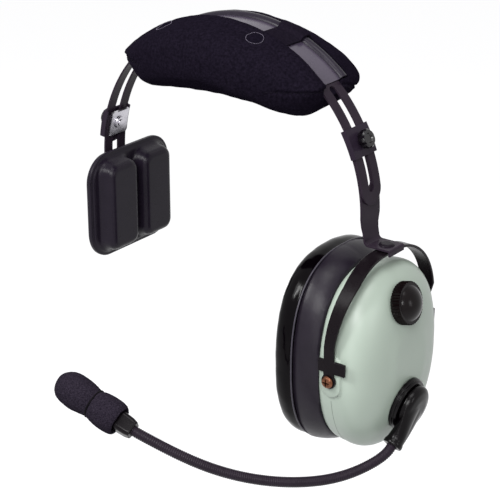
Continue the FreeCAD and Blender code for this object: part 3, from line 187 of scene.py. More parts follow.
@dataclass(frozen=True)
class Finish:
    """One surface finish: its slot in the record, its colour, how it shines and its small relief."""

    slot: str
    colour: RGB
    worn: RGB
    roughness: float
    spread: float = 0.06
    metallic: float = 0.0
    specular: float = 0.5
    sheen: float = 0.0
    grain: Grain = Grain.PLAIN
    grain_size: float = 0.6
    grain_depth: float = 0.02
    patch: float = 14.0
    patch_share: float = 0.5
    label: str = ""

    def height(self, shader: Shader) -> bpy.types.NodeSocket:
        """Makes the relief's height for this finish's grain."""
        size = self.grain_size
        if self.grain is Grain.PORES:
            return shader.ramp(shader.cells(size), 0.1, 0.55, 0.0, 1.0)
        if self.grain is Grain.NAP:
            long = shader.stretched((1.0, 0.6, 1.6))
            return shader.cloud(size, 6.0, long, 0.75)
        if self.grain is Grain.BRUSHED:
            return shader.cloud(size, 2.0, shader.stretched((0.15, 1.0, 0.15)))
        if self.grain is Grain.WEAVE:
            first = shader.node("ShaderNodeTexWave", bands_direction="X", wave_profile="SIN")
            second = shader.node("ShaderNodeTexWave", bands_direction="DIAGONAL", wave_profile="SIN")
            for wave in (first, second):
                shader.feed(wave, Vector=shader.place, Scale=0.32 / (size * MM), Distortion=0.6, Detail=1.0)
            mixed = shader.node("ShaderNodeMath", operation="MULTIPLY")
            shader.tree.links.new(first.outputs["Fac"], mixed.inputs[0])
            shader.tree.links.new(second.outputs["Fac"], mixed.inputs[1])
            return mixed.outputs[0]
        return shader.cloud(size, 4.0)

    def material(self) -> bpy.types.Material:
        """Builds the finish's material, or finds it if it was built before."""
        name = (self.label or self.slot) + "_finish"
        known = bpy.data.materials.get(name)
        if known is not None:
            return known
        shader = Shader(name)
        surface = shader.surface
        patches = shader.ramp(shader.cloud(self.patch, 5.0), 0.35, 0.75, 0.0, self.patch_share)
        shader.feed(surface, Base_Color=shader.blend(patches, linear(self.colour), linear(self.worn)))
        low, high = max(self.roughness - self.spread, 0.02), min(self.roughness + self.spread, 1.0)
        shader.feed(surface, Roughness=shader.ramp(shader.cloud(self.patch * 0.4, 4.0), 0.3, 0.7, low, high))
        shader.feed(surface, Metallic=self.metallic, Specular_IOR_Level=self.specular,
                    Sheen_Weight=self.sheen, Sheen_Roughness=0.45, Sheen_Tint=linear(self.worn))
        if self.grain is not Grain.PLAIN:
            shader.feed(surface, Normal=shader.relief(self.height(shader), self.grain_depth))
        return shader.material


class Finishes:
    """Every finish on the headset."""

    SPRING = Finish("spring_steel", (40, 32, 42), (54, 45, 56), 0.24, grain=Grain.FINE, grain_size=0.35,
                    grain_depth=0.004, specular=0.05)
    CLAMP = Finish("clamp_paint", (36, 28, 40), (50, 41, 55), 0.26, grain=Grain.FINE, grain_size=0.4,
                   grain_depth=0.004, specular=0.08)
    # COVER and its darker ridge copy are one vinyl. The flat's lighter base paints in the reflection that the
    # flat catches, and the ridges' darker base is painted shade.
    COVER = Finish("cover_vinyl", (62, 54, 70), (76, 67, 84), 0.24, grain=Grain.FINE, grain_size=0.5,
                   grain_depth=0.006, specular=0.42)
    RIDGE_PAINTED_SHADE = Finish("cover_vinyl", (30, 25, 36), (42, 36, 48), 0.26, grain=Grain.FINE, grain_size=0.5,
                   grain_depth=0.006, specular=0.16, label="cover_ridge_painted_shade")
    CLOTH = Finish("pad_cloth", (16, 13, 21), (31, 26, 38), 0.97, sheen=0.6, specular=0.0, grain=Grain.NAP,
                   grain_size=0.5, grain_depth=0.14, patch=1.2, patch_share=0.8)
    SEWING = Finish("pad_cloth", (14, 11, 19), (24, 20, 30), 0.8, specular=0.05, grain=Grain.FINE,
                    grain_size=0.2, grain_depth=0.02, patch=1.5, label="pad_thread")
    TAPE = Finish("strap_cloth", (22, 18, 27), (36, 31, 41), 0.92, sheen=0.4, specular=0.0, grain=Grain.WEAVE,
                  grain_size=0.8, grain_depth=0.08, patch=1.5)
    SNAP = Finish("snap_cloth", (15, 12, 21), (31, 26, 39), 0.95, sheen=0.5, specular=0.0, grain=Grain.NAP,
                  grain_size=0.5, grain_depth=0.1, patch=1.4)
    # The snaps' stitches are pale. They are partly thread and partly a painted highlight for the bright line
    # where light catches each snap's raised rim.
    THREAD_HIGHLIGHT = Finish("snap_cloth", (92, 86, 100), (120, 114, 128), 0.7, specular=0.1, grain=Grain.FINE,
                    grain_size=0.2, grain_depth=0.02, patch=1.5, label="snap_thread_highlight")
    ZINC = Finish("zinc_steel", (196, 194, 200), (162, 160, 168), 0.24, metallic=1.0, grain=Grain.BRUSHED,
                  grain_size=0.3, grain_depth=0.003, patch=6.0)
    RIVET = Finish("rivet_black", (22, 17, 24), (34, 28, 36), 0.3, specular=0.05, grain=Grain.FINE,
                   grain_size=0.4, grain_depth=0.006)
    GRIP = Finish("grip_plastic", (8, 5, 9), (16, 12, 18), 0.14, specular=0.4, grain=Grain.FINE,
                  grain_size=0.5, grain_depth=0.01)
    STIRRUP = Finish("stirrup_paint", (15, 10, 14), (25, 19, 24), 0.28, specular=0.09, grain=Grain.FINE,
                     grain_size=0.4, grain_depth=0.008)
    COPPER = Finish("pivot_copper", (124, 82, 62), (74, 44, 34), 0.3, metallic=1.0, grain=Grain.FINE,
                    grain_size=0.3, grain_depth=0.012, patch=1.2, patch_share=0.8)
    DOME = Finish("dome_green", (166, 179, 167), (172, 185, 173), 0.36, spread=0.03, grain=Grain.FINE,
                  grain_size=0.55, grain_depth=0.008, patch=22.0)
    SEAM = Finish("dome_green", (98, 108, 98), (112, 122, 112), 0.6, grain=Grain.FINE, grain_size=0.5,
                  label="dome_seam")
    FLANGE = Finish("flange_plastic", (25, 20, 29), (36, 30, 41), 0.34, specular=0.2, grain=Grain.FINE,
                    grain_size=0.3, grain_depth=0.03)
    # The welt is the seal's vinyl made far lighter: a painted highlight for the bright line along the crease
    # between the seal and the flange.
    WELT_HIGHLIGHT = Finish("seal_vinyl", (44, 40, 50), (66, 60, 72), 0.4, specular=0.4, grain=Grain.FINE,
                  grain_size=0.5, grain_depth=0.02, patch=3.0, label="seal_welt")
    SEAL = Finish("seal_vinyl", (3, 1, 3), (6, 4, 7), 0.13, spread=0.03, specular=0.08, grain=Grain.FINE,
                  grain_size=3.5, grain_depth=0.05)
    LINER = Finish("liner_foam", (34, 33, 37), (44, 43, 47), 0.95, specular=0.05, grain=Grain.PORES,
                   grain_size=0.5, grain_depth=0.2, patch=2.0)
    MAGNET = Finish("magnet_steel", (150, 150, 154), (120, 120, 124), 0.35, metallic=1.0, grain=Grain.BRUSHED)
    BOARD = Finish("board_green", (38, 86, 54), (46, 98, 62), 0.4, grain=Grain.FINE)
    CHIPS = Finish("board_black", (22, 22, 24), (34, 34, 36), 0.45, grain=Grain.FINE)
    KNOB = Finish("knob_plastic", (9, 4, 5), (15, 8, 9), 0.2, spread=0.04, specular=0.15)
    HOLDER = Finish("holder_plastic", (5, 3, 5), (10, 7, 9), 0.2, spread=0.04, specular=0.14)
    NECK = Finish("neck_rubber", (34, 27, 36), (47, 39, 49), 0.32, specular=0.1)
    MIC = Finish("mic_plastic", (12, 8, 12), (22, 17, 22), 0.22, specular=0.12)
    FOAM = Finish("mic_foam", (30, 26, 35), (58, 52, 63), 0.98, specular=0.0, sheen=0.4, grain=Grain.PORES,
                  grain_size=0.55, grain_depth=0.3, patch=0.7, patch_share=0.75)
    TIE = Finish("tie_rubber", (10, 8, 11), (18, 15, 19), 0.6, specular=0.05)
    RUBBER = Finish("temple_rubber", (25, 20, 30), (34, 28, 39), 0.3, spread=0.04, specular=0.13,
                    grain=Grain.FINE, grain_size=0.4, grain_depth=0.01)
    GLAND = Finish("gland_black", (10, 7, 10), (18, 14, 19), 0.5, specular=0.06, grain=Grain.FINE)


class Workshop:
    """Mesh work that several pieces share."""

    CLOTH_FRAMES = 20
    CLOTH_SETTINGS = {"quality": 5, "mass": 0.3, "tension_stiffness": 15.0, "compression_stiffness": 15.0,
                      "bending_stiffness": 0.6}

    @staticmethod
    def piece(name: str, mesh: bpy.types.Mesh, finish: Finish, body: str) -> bpy.types.Object:
        """Adds a finished mesh to the scene.

        Args:
            name: The piece's name.
            mesh: Its mesh, in metres.
            finish: Its finish.
            body: The body that it rides on.

        Returns:
            The piece's object.
        """
        made = bpy.data.objects.new(name, mesh)
        bpy.context.scene.collection.objects.link(made)
        mesh.materials.clear()
        mesh.materials.append(finish.material())
        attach(made, body)
        return made

    @staticmethod
    def mesh(name: str, shape: bmesh.types.BMesh, angle: float = 32.0) -> bpy.types.Mesh:
        """Closes a shape in millimetres into a mesh in metres, with smooth shading up to an angle."""
        bmesh.ops.remove_doubles(shape, verts=shape.verts, dist=0.0005)
        bmesh.ops.recalc_face_normals(shape, faces=shape.faces)
        bmesh.ops.scale(shape, vec=(MM, MM, MM), verts=shape.verts)
        made = bpy.data.meshes.new(name)
        shape.to_mesh(made)
        shape.free()
        made.shade_smooth()
        made.set_sharp_from_angle(angle=math.radians(angle))
        return made

    @staticmethod
    def node_shape(node: str) -> bmesh.types.BMesh:
        """Copies a CAD node's triangles into a shape in millimetres."""
        shape = bmesh.new()
        shape.from_mesh(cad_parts[node].data)
        bmesh.ops.scale(shape, vec=(1 / MM, 1 / MM, 1 / MM), verts=shape.verts)
        return shape

    @staticmethod
    def dress(node: str, finish: Finish) -> None:
        """Gives a CAD node its finish."""
        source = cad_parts[node]
        if not source.material_slots:
            source.data.materials.append(finish.material())
        for slot in source.material_slots:
            slot.material = finish.material()

    @staticmethod
    def loft(shape: bmesh.types.BMesh, rings: Sequence[Ring], closed: bool = False,
             caps: bool = True) -> None:
        """Skins rings of equal length.

        Args:
            shape: The mesh under construction.
            rings: The rings, each closed on itself.
            closed: Whether the last ring joins the first.
            caps: Whether the open ends are filled.
        """
        rows = [[shape.verts.new(point) for point in ring] for ring in rings]
        count = len(rows[0])
        pairs = list(zip(rows, rows[1:])) + ([(rows[-1], rows[0])] if closed else [])
        for low, high in pairs:
            for i in range(count):
                k = (i + 1) % count
                shape.faces.new((low[i], low[k], high[k], high[i]))
        if caps and not closed:
            shape.faces.new(list(reversed(rows[0])))
            shape.faces.new(rows[-1])

    @staticmethod
    def surface(mesh: bpy.types.Mesh) -> BVHTree:
        """Makes a search tree of a mesh, for finding places on its skin."""
        shape = bmesh.new()
        shape.from_mesh(mesh)
        tree = BVHTree.FromBMesh(shape)
        shape.free()
        return tree

    @staticmethod
    def evaluated(source: bpy.types.Object) -> bpy.types.Mesh:
        """Applies an object's modifiers into a new mesh."""
        graph = bpy.context.evaluated_depsgraph_get()
        graph.update()
        return bpy.data.meshes.new_from_object(source.evaluated_get(graph))

    @classmethod
    def modified(cls, mesh: bpy.types.Mesh, steps: Sequence[tuple[str, dict[str, object]]]) -> bpy.types.Mesh:
        """Runs a mesh through modifiers.

        Args:
            mesh: The mesh to change.
            steps: Each modifier's type and its settings.

        Returns:
            The new mesh.
        """
        helper = bpy.data.objects.new("helper", mesh)
        bpy.context.scene.collection.objects.link(helper)
        for kind, settings in steps:
            modifier = helper.modifiers.new(kind.lower(), kind)
            for key, value in settings.items():
                setattr(modifier, key, value)
        made = cls.evaluated(helper)
        bpy.data.objects.remove(helper)
        return made

    @classmethod
    def polished(cls, node: str, finish: Finish, body: str, edge: float = 0.0, angle: float = 32.0,
                 ) -> bpy.types.Object:
        """Replaces a CAD node by a merged copy with smooth shading and, if asked, rounded edges.

        Args:
            node: The CAD node.
            finish: Its finish.
            body: Its body.
            edge: Radius of the rounded edges in millimetres.
            angle: Edges flatter than this stay smooth.

        Returns:
            The piece.
        """
        shape = cls.node_shape(node)
        bmesh.ops.remove_doubles(shape, verts=shape.verts, dist=0.001)
        if edge:
            bmesh.ops.dissolve_limit(shape, angle_limit=math.radians(0.4), verts=shape.verts,
                                     edges=shape.edges)
        mesh = cls.mesh(node + "_piece", shape, angle)
        steps = []
        if edge:
            steps.append(("BEVEL", {"width": edge * MM, "segments": 2, "limit_method": "ANGLE",
                                    "angle_limit": math.radians(angle), "harden_normals": False}))
        steps.append(("WEIGHTED_NORMAL", {"keep_sharp": True}))
        mesh = cls.modified(mesh, steps)
        made = cls.piece(node + "_piece", mesh, finish, body)
        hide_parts(node)
        return made

    @classmethod
    def remoulded(cls, mesh: bpy.types.Mesh, voxel: float, passes: int) -> bpy.types.Mesh:
        """Rounds a closed mesh off evenly.

        Args:
            mesh: The closed mesh.
            voxel: Grid width in millimetres.
            passes: How often it is smoothed.

        Returns:
            The rounded mesh.
        """
        made = cls.modified(mesh, [
            ("REMESH", {"mode": "VOXEL", "voxel_size": voxel * MM, "use_smooth_shade": True}),
            ("SMOOTH", {"factor": 0.5, "iterations": passes}),
        ])
        made.shade_smooth()
        return made

    @classmethod
    def moulded(cls, node: str, name: str, finish: Finish, body: str, passes: int) -> bpy.types.Object:
        """Replaces a CAD node by a copy with soft moulded transitions.

        Args:
            node: The CAD node.
            name: The piece's name.
            finish: Its finish.
            body: Its body.
            passes: How often the copy is smoothed.

        Returns:
            The piece.
        """
        mesh = cls.remoulded(cls.mesh(name, cls.node_shape(node)), 0.4, passes)
        made = cls.piece(name, mesh, finish, body)
        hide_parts(node)
        return made

    @classmethod
    def inflated(cls, mesh: bpy.types.Mesh, held: Callable[[Vector], float], pressure: float,
                 most: float) -> bpy.types.Mesh:
        """Swells a closed mesh as stuffed cloth.

        Args:
            mesh: The closed mesh, in metres.
            held: How firmly a point is held, from 0 to 1.
            pressure: The air pressure in it.
            most: How far a point may move, in millimetres.

        Returns:
            The swollen mesh.
        """
        scene = bpy.context.scene
        helper = bpy.data.objects.new("cloth", mesh)
        scene.collection.objects.link(helper)
        group = helper.vertex_groups.new(name="held")
        for vertex in mesh.vertices:
            group.add([vertex.index], held(vertex.co / MM), "REPLACE")
        modifier = helper.modifiers.new("cloth", "CLOTH")
        settings = modifier.settings
        for key, value in cls.CLOTH_SETTINGS.items():
            setattr(settings, key, value)
        settings.use_pressure = True
        settings.uniform_pressure_force = pressure
        settings.vertex_group_mass = "held"
        settings.effector_weights.gravity = 0.0
        modifier.point_cache.frame_start = 1
        modifier.point_cache.frame_end = cls.CLOTH_FRAMES
        for frame in range(1, cls.CLOTH_FRAMES + 1):
            scene.frame_set(frame)
        swollen = cls.evaluated(helper)
        scene.frame_set(1)
        limit = most * MM
        for before, after in zip(mesh.vertices, swollen.vertices):
            step = after.co - before.co
            if step.length > limit:
                step = step * (limit / step.length)
            after.co = before.co + step
        bpy.data.objects.remove(helper)
        return swollen


class NodeRecipe:
    """A Geometry Nodes tree with named inputs, run once on one object."""

    def __init__(self, name: str, inputs: dict[str, tuple[str, object]]) -> None:
        """Opens the tree.

        Args:
            name: The tree's name.
            inputs: Each input's socket type and value.
        """
        self.tree = bpy.data.node_groups.new(name, "GeometryNodeTree")
        face = self.tree.interface
        face.new_socket("Geometry", in_out="INPUT", socket_type="NodeSocketGeometry")
        face.new_socket("Geometry", in_out="OUTPUT", socket_type="NodeSocketGeometry")
        self.values = {}
        for key, (kind, value) in inputs.items():
            socket = face.new_socket(key, in_out="INPUT", socket_type=kind)
            self.values[socket.identifier] = value
        self.start = self.tree.nodes.new("NodeGroupInput")
        self.end = self.tree.nodes.new("NodeGroupOutput")

    def node(self, kind: str, sockets: dict[object, object] | None = None,
             **settings: object) -> bpy.types.Node:
        """Adds a node.

        Args:
            kind: The node's type name.
            sockets: Values or outputs for its inputs, by name or number.
            **settings: Its properties.

        Returns:
            The new node.
        """
        made = self.tree.nodes.new(kind)
        for key, value in settings.items():
            setattr(made, key, value)
        for key, value in (sockets or {}).items():
            if isinstance(value, bpy.types.NodeSocket):
                self.tree.links.new(value, made.inputs[key])
            else:
                made.inputs[key].default_value = value
        return made

    def maths(self, operation: str, *values: object) -> bpy.types.NodeSocket:
        """Adds a sum on numbers or outputs."""
        made = self.node("ShaderNodeMath", dict(enumerate(values)), operation=operation)
        return made.outputs[0]

    def finish(self, geometry: bpy.types.NodeSocket, finish: Finish, soft: bool = True) -> None:
        """Ends the tree in real geometry with its shading and its material."""
        real = self.node("GeometryNodeRealizeInstances", {"Geometry": geometry})
        shaded = self.node("GeometryNodeSetShadeSmooth", {"Geometry": real.outputs[0], "Shade Smooth": soft})
        painted = self.node("GeometryNodeSetMaterial",
                            {"Geometry": shaded.outputs[0], "Material": finish.material()})
        self.tree.links.new(painted.outputs[0], self.end.inputs[0])

    def run(self, source: bpy.types.Object) -> bpy.types.Mesh:
        """Runs the tree on an object and takes the object away.

        Args:
            source: The object that carries the tree's input.

        Returns:
            The plain mesh that the tree made.
        """
        modifier = source.modifiers.new("recipe", "NODES")
        modifier.node_group = self.tree
        for identifier, value in self.values.items():
            modifier[identifier] = value
        made = Workshop.evaluated(source)
        source.modifiers.remove(modifier)
        bpy.data.objects.remove(source)
        return made


class Lines:
    """Curves and points that Geometry Nodes follow."""

    @staticmethod
    def dots(name: str, points: Sequence[Vector]) -> bpy.types.Object:
        """Makes an object of loose points, given in millimetres."""
        mesh = bpy.data.meshes.new(name)
        mesh.from_pydata([tuple(point * MM) for point in points], [], [])
        made = bpy.data.objects.new(name, mesh)
        bpy.context.scene.collection.objects.link(made)
        return made

    @staticmethod
    def poly(name: str, points: Sequence[Vector], cyclic: bool = False) -> bpy.types.Object:
        """Makes a straight-run curve object through points in millimetres."""
        curve = bpy.data.curves.new(name, "CURVE")
        curve.dimensions = "3D"
        spline = curve.splines.new("POLY")
        spline.points.add(len(points) - 1)
        for target, point in zip(spline.points, points):
            target.co = (point.x * MM, point.y * MM, point.z * MM, 1.0)
        spline.use_cyclic_u = cyclic
        made = bpy.data.objects.new(name, curve)
        bpy.context.scene.collection.objects.link(made)
        return made

    @staticmethod
    def tube(points: Sequence[Vector], finish: Finish, thick: float, cyclic: bool = False) -> bpy.types.Mesh:
        """Sweeps a thin round bead along points.

        Args:
            points: The bead's path in millimetres.
            finish: Its finish.
            thick: Its radius in millimetres.
            cyclic: Whether the path closes on itself.

        Returns:
            The bead's mesh.
        """
        recipe = NodeRecipe("bead", {"Thick": ("NodeSocketFloat", thick * MM)})
        start = recipe.start.outputs
        profile = recipe.node("GeometryNodeCurvePrimitiveCircle",
                              {"Resolution": 10, "Radius": start["Thick"]})
        tube = recipe.node("GeometryNodeCurveToMesh", {
            "Curve": start["Geometry"], "Profile Curve": profile.outputs[0], "Fill Caps": True})
        recipe.finish(tube.outputs[0], finish)
        return recipe.run(Lines.poly("path", points, cyclic))

    @staticmethod
    def stitches(points: Sequence[Vector], finish: Finish, pitch: float, thick: float, cyclic: bool = False,
                 ) -> bpy.types.Mesh:
        """Sews a row of stitches along points.

        Args:
            points: The row's path in millimetres.
            finish: The thread's finish.
            pitch: Stitch spacing in millimetres.
            thick: Thread's radius in millimetres.
            cyclic: Whether the row closes on itself.

        Returns:
            One mesh with every stitch.
        """
        recipe = NodeRecipe("stitches", {"Pitch": ("NodeSocketFloat", pitch * MM),
                                         "Thread": ("NodeSocketFloat", thick * MM)})
        start = recipe.start.outputs
        spaced = recipe.node("GeometryNodeCurveToPoints",
                             {"Curve": start["Geometry"], "Length": start["Pitch"]}, mode="LENGTH")
        thread = recipe.node("GeometryNodeMeshIcoSphere", {"Radius": start["Thread"], "Subdivisions": 2})
        turned = recipe.node("FunctionNodeAlignRotationToVector",
                             {"Vector": spaced.outputs["Tangent"]}, axis="Z")
        length = recipe.maths("DIVIDE", start["Pitch"], start["Thread"])
        half = recipe.maths("MULTIPLY", length, 0.36)
        scale = recipe.node("ShaderNodeCombineXYZ", {"X": 1.0, "Y": 1.0, "Z": half})
        placed = recipe.node("GeometryNodeInstanceOnPoints", {
            "Points": spaced.outputs["Points"], "Instance": thread.outputs["Mesh"],
            "Rotation": turned.outputs[0], "Scale": scale.outputs[0]})
        recipe.finish(placed.outputs[0], finish)
        return recipe.run(Lines.poly("row", points, cyclic))


@dataclass(frozen=True)
class LeafArc:
    """The spring leaf's arc over the head."""

    radius: float = 82.0
    middle_z: float = -49.0

    def place(self, angle: float, radius: float, y: float = 0.0) -> Vector:
        """Gives the point at an angle from the crown and a radius."""
        turn = math.radians(angle)
        return Vector((radius * math.sin(turn), y, self.middle_z + radius * math.cos(turn)))

    def polar(self, point: Vector) -> tuple[float, float]:
        """Gives a point's angle from the crown and its radius."""
        rise = point.z - self.middle_z
        return math.degrees(math.atan2(point.x, rise)), math.hypot(point.x, rise)


LEAF = LeafArc()


@dataclass
class CrownPad:
    """The cloth-covered head pad, open above for the leaf and its cover."""

    end: float = 47.4
    front: float = 33.6
    front_end: float = 27.2
    back: float = 30.0
    back_end: float = 41.0
    front_blunt: float = 3.6
    back_blunt: float = 5.0
    end_blunt: float = 8.0
    depth: float = 33.0
    rise: float = 13.0
    top_front: float = 4.65
    top_back: float = 4.6
    trough: float = 14.05
    lip: float = 8.35
    leaf_half: float = 8.1
    cover_rise: float = 3.45
    cover_reach: float = 43.0
    tape_angles: tuple[float, float] = (13.8, 24.2)
    seam_front: float = 11.0
    seam_back: float = 4.0
    seam_from: float = 38.0
    pucker_pitch: float = 3.4
    body_steps: int = 60
    body_around: int = 64
    body_voxel: float = 2.4
    pressure: float = 5.0
    swell: float = 1.3
    start_inset: float = 0.9
    flap_from: float = -22.0
    flap_to: float = -6.0
    flap_top: float = -9.5
    cover_end: float = 43.2
    lumps: tuple[tuple[float, float], ...] = ((0.5, 0.07), (0.25, 0.16), (0.1, 0.4))
    snap_at: tuple[tuple[float, float], ...] = ((-21.5, -16.4), (16.5, -16.4))
    snap_radius: float = 4.6
    snap_steps: int = 40
    snap_profile: tuple[tuple[float, float], ...] = ((0.1, 0.12), (2.2, 0.14), (3.6, 0.12), (4.0, 0.06),
                                                     (4.25, 0.02), (4.5, 0.14), (4.6, -0.3), (0.1, -0.4))

    def outline(self, share: float, turn: float) -> tuple[float, float]:
        """Gives y and radius of the pad's skin.

        Args:
            share: Place along the half length, -1 to 1.
            turn: Angle round the section in degrees, 0 at the back.

        Returns:
            The point's y and its radius from the arc's middle.
        """
        u = abs(share)
        side = math.cos(u * math.pi / 2)
        front = (self.front_end + (self.front - self.front_end) * side) * rounded(u, self.front_blunt)
        back = (self.back_end + (self.back - self.back_end) * side) * rounded(u, self.back_blunt)
        thin = rounded(u, self.end_blunt)
        low = LEAF.radius - self.depth + self.rise * u * u
        top_front = LEAF.radius + self.top_front
        top_back = LEAF.radius + self.top_back
        c, s = math.cos(math.radians(turn)), math.sin(math.radians(turn))
        y = (back if c > 0 else front) * power(c, 2 / 3.0)
        high = (top_front + top_back) / 2 - (top_front - top_back) / 2 * c
        middle = low + (high - low) * 0.45
        bulge = 2 / 3.0 if s > 0 else 2 / 2.3
        radius = middle + (high - middle if s > 0 else middle - low) * thin * power(s, bulge)
        return y, radius

    def body_mesh(self) -> bpy.types.Mesh:
        """Builds the stuffed body, before the room for the leaf is taken out."""
        shape = bmesh.new()
        rings = []
        for i in range(self.body_steps + 1):
            share = math.sin((i / self.body_steps - 0.5) * math.pi) * 0.996
            ring = []
            for k in range(self.body_around):
                y, radius = self.outline(share, 360.0 * k / self.body_around)
                ring.append(LEAF.place(share * self.end, radius, y))
            rings.append(ring)
        Workshop.loft(shape, rings)
        mesh = Workshop.mesh("crown_pad_body", shape)
        mesh = Workshop.remoulded(mesh, self.body_voxel, 2)
        self.shift(mesh, lambda point, normal: normal * -self.start_inset)
        mesh = Workshop.inflated(mesh, self.held, self.pressure, self.start_inset + self.swell)
        mesh = Workshop.modified(mesh, [("SUBSURF", {"levels": 2, "render_levels": 2})])
        self.shift(mesh, self.folded)
        self.shift(mesh, self.sewing)
        return mesh

    def folded(self, point: Vector, normal: Vector) -> Vector:
        """Lays the front flap over the cover's ridge, and lowers it past the ridge's end."""
        angle, radius = LEAF.polar(point)
        out = LEAF.place(angle, 1.0) - LEAF.place(angle, 0.0)
        if not self.flap_from < point.y < self.flap_to or radius < LEAF.radius - 8.0:
            return Vector()
        past = max(abs(angle) - self.cover_end, 0.0)
        fold = LEAF.radius + self.top_front - 0.05 * (point.y - self.flap_top) ** 2 - 1.1 * past * past
        facing = smooth((normal.dot(out) - 0.1) / 0.5)
        return out * (max(fold - radius, 0.0) * facing)

    @staticmethod
    def shift(mesh: bpy.types.Mesh, rule: Callable[[Vector, Vector], Vector]) -> None:
        """Moves each vertex by a rule of its place and normal, in millimetres."""
        steps = [rule(vertex.co / MM, vertex.normal) * MM for vertex in mesh.vertices]
        for vertex, step in zip(mesh.vertices, steps):
            vertex.co += step

    def held(self, point: Vector) -> float:
        """Holds the skin where it lies against the leaf and its cover."""
        angle, radius = LEAF.polar(point)
        inside = abs(point.y) < self.trough + 3 and radius > LEAF.radius - 6
        return 1.0 if inside else 0.0

    def seam_height(self, y: float) -> float:
        """Gives the height of the seam between the pad's top and its end, which falls towards the back."""
        return self.seam_front + (self.seam_back - self.seam_front) * smooth((y - 4.0) / 26.0)

    def sewing(self, point: Vector, normal: Vector) -> Vector:
        """Pulls the skin in along the end seam, puckers it beside the stitches and adds soft lumps."""
        fade = smooth((abs(point.x) - self.seam_from) / 7.0)
        across = point.z - self.seam_height(point.y)
        along = (point.y + abs(point.x)) * 2 * math.pi / self.pucker_pitch
        depth = 0.9 * math.exp(-(across / 0.9) ** 2) * (1 + 0.3 * math.sin(along))
        ripple = 0.2 * math.exp(-(across / 3.6) ** 2) * math.sin(along)
        lumps = sum(height * noise.noise(point * pace) for height, pace in self.lumps)
        return normal * ((ripple - depth) * fade + lumps)

    def trough_mesh(self) -> bpy.types.Mesh:
        """Builds the cutter for the leaf, its cover and the tape."""
        shape = bmesh.new()
        floor = LEAF.radius - 0.6
        roof = LEAF.radius + self.cover_rise
        high = LEAF.radius + 22
        wall, lip, bevel, half = self.trough, self.lip, 1.25, self.leaf_half
        cover = [(-wall, floor), (-wall, roof - bevel), (-wall + bevel, roof), (-lip - bevel, roof),
                 (-lip, roof - bevel), (-lip, high), (wall, high), (wall, floor)]
        leaf = [(-half, floor), (-half, high), (half, high), (half, floor)]
        side = wall + 1.2
        tape = [(11.2, LEAF.radius + 0.6), (11.2, high), (side, high), (side, LEAF.radius + 0.6)]
        reach, beyond = self.cover_reach, self.cover_reach - 0.1
        for outline, start, end in ((cover, -reach, reach), (leaf, -52.0, -beyond), (leaf, beyond, 52.0),
                                    (tape, *self.tape_angles)):
            steps = max(int((end - start) / 1.5), 2)
            rings = []
            for i in range(steps + 1):
                angle = start + (end - start) * i / steps
                rings.append([LEAF.place(angle, radius, y) for y, radius in outline])
            Workshop.loft(shape, rings)
        return Workshop.mesh("trough", shape)

    def seam_row(self, skin: BVHTree, side: int) -> list[Vector]:
        """Follows an end seam round the skin.

        Args:
            skin: The pad's skin.
            side: -1 at the left end, 1 at the right.

        Returns:
            The row's points in millimetres.
        """
        found = []
        for i in range(121):
            turn = math.radians(-105.0 + 210.0 * i / 120)
            out = Vector((side * math.cos(turn), math.sin(turn), 0.0))
            start = Vector((side * 34.0, 0.0, self.seam_height(36.0 * math.sin(turn)))) + out * 90.0
            place, normal, _, _ = skin.ray_cast(start * MM, -out)
            if place is not None and abs(place.x) > self.seam_from * MM:
                found.append(place / MM + normal * 0.12)
        return found

    def build(self) -> None:
        """Builds the pad, its end seams and its snaps."""
        cutter = bpy.data.objects.new("trough", self.trough_mesh())
        bpy.context.scene.collection.objects.link(cutter)
        mesh = Workshop.modified(self.body_mesh(), [
            ("BOOLEAN", {"operation": "DIFFERENCE", "object": cutter, "solver": "EXACT", "use_self": True})])
        bpy.data.objects.remove(cutter)
        mesh.shade_smooth()
        mesh.set_sharp_from_angle(angle=math.radians(50))
        skin = Workshop.surface(mesh)
        pad = Workshop.piece("crown_pad_cloth", mesh, Finishes.CLOTH, "headband")
        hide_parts("crown_pad")
        self.build_snaps(skin)
        for name, side in (("pad_stitches_left", -1), ("pad_stitches_right", 1)):
            thread = Lines.stitches(self.seam_row(skin, side), Finishes.SEWING, 2.3, 0.24)
            Workshop.piece(name, thread, Finishes.SEWING, "headband")
        LOG.info("crown pad: %d faces", len(mesh.polygons))

    @staticmethod
    def dropped(skin: BVHTree, angle: float, y: float, lift: float) -> Vector:
        """Finds the skin's point below a place over the crown, in millimetres.

        Args:
            skin: The pad's skin.
            angle: Angle from the crown.
            y: Place across the leaf.
            lift: How far above the skin the point goes.

        Returns:
            The point.
        """
        inwards = LEAF.place(angle, 0.0, y) - LEAF.place(angle, 1.0, y)
        start = LEAF.place(angle, LEAF.radius + 25.0, y)
        place, normal, _, _ = skin.ray_cast(start * MM, inwards)
        if place is None:
            return LEAF.place(angle, LEAF.radius + lift, y)
        return place / MM + normal * lift

    def snap_ring(self, skin: BVHTree, angle: float, y: float, radius: float, lift: float) -> list[Vector]:
        """Gives a round row of points on the skin, about a snap's middle."""
        found = []
        for k in range(self.snap_steps):
            turn = 2 * math.pi * k / self.snap_steps
            aside = math.degrees(radius * math.sin(turn) / (LEAF.radius + self.top_front))
            found.append(self.dropped(skin, angle + aside, y + radius * math.cos(turn), lift))
        return found

    def build_snaps(self, skin: BVHTree) -> None:
        """Builds the two cloth-covered snaps on the flap, each with its ring of stitches, whose pale thread
        is also a painted highlight on the snap's raised rim.
        """
        shape = bmesh.new()
        rows = []
        for angle, y in self.snap_at:
            rings = [self.snap_ring(skin, angle, y, radius, lift) for radius, lift in self.snap_profile]
            Workshop.loft(shape, rings)
            rows.append(self.snap_ring(skin, angle, y, self.snap_radius - 0.35, 0.3))
        mesh = Workshop.mesh("pad_snaps_cloth", shape, 60)
        made = Workshop.piece("pad_snaps_cloth", mesh, Finishes.SNAP, "headband")
        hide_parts("pad_snaps")
        for name, row in zip(("snap_stitches_left", "snap_stitches_right"), rows):
            thread = Lines.stitches(row, Finishes.THREAD_HIGHLIGHT, 0.75, 0.2, cyclic=True)
            Workshop.piece(name, thread, Finishes.THREAD_HIGHLIGHT, "headband")


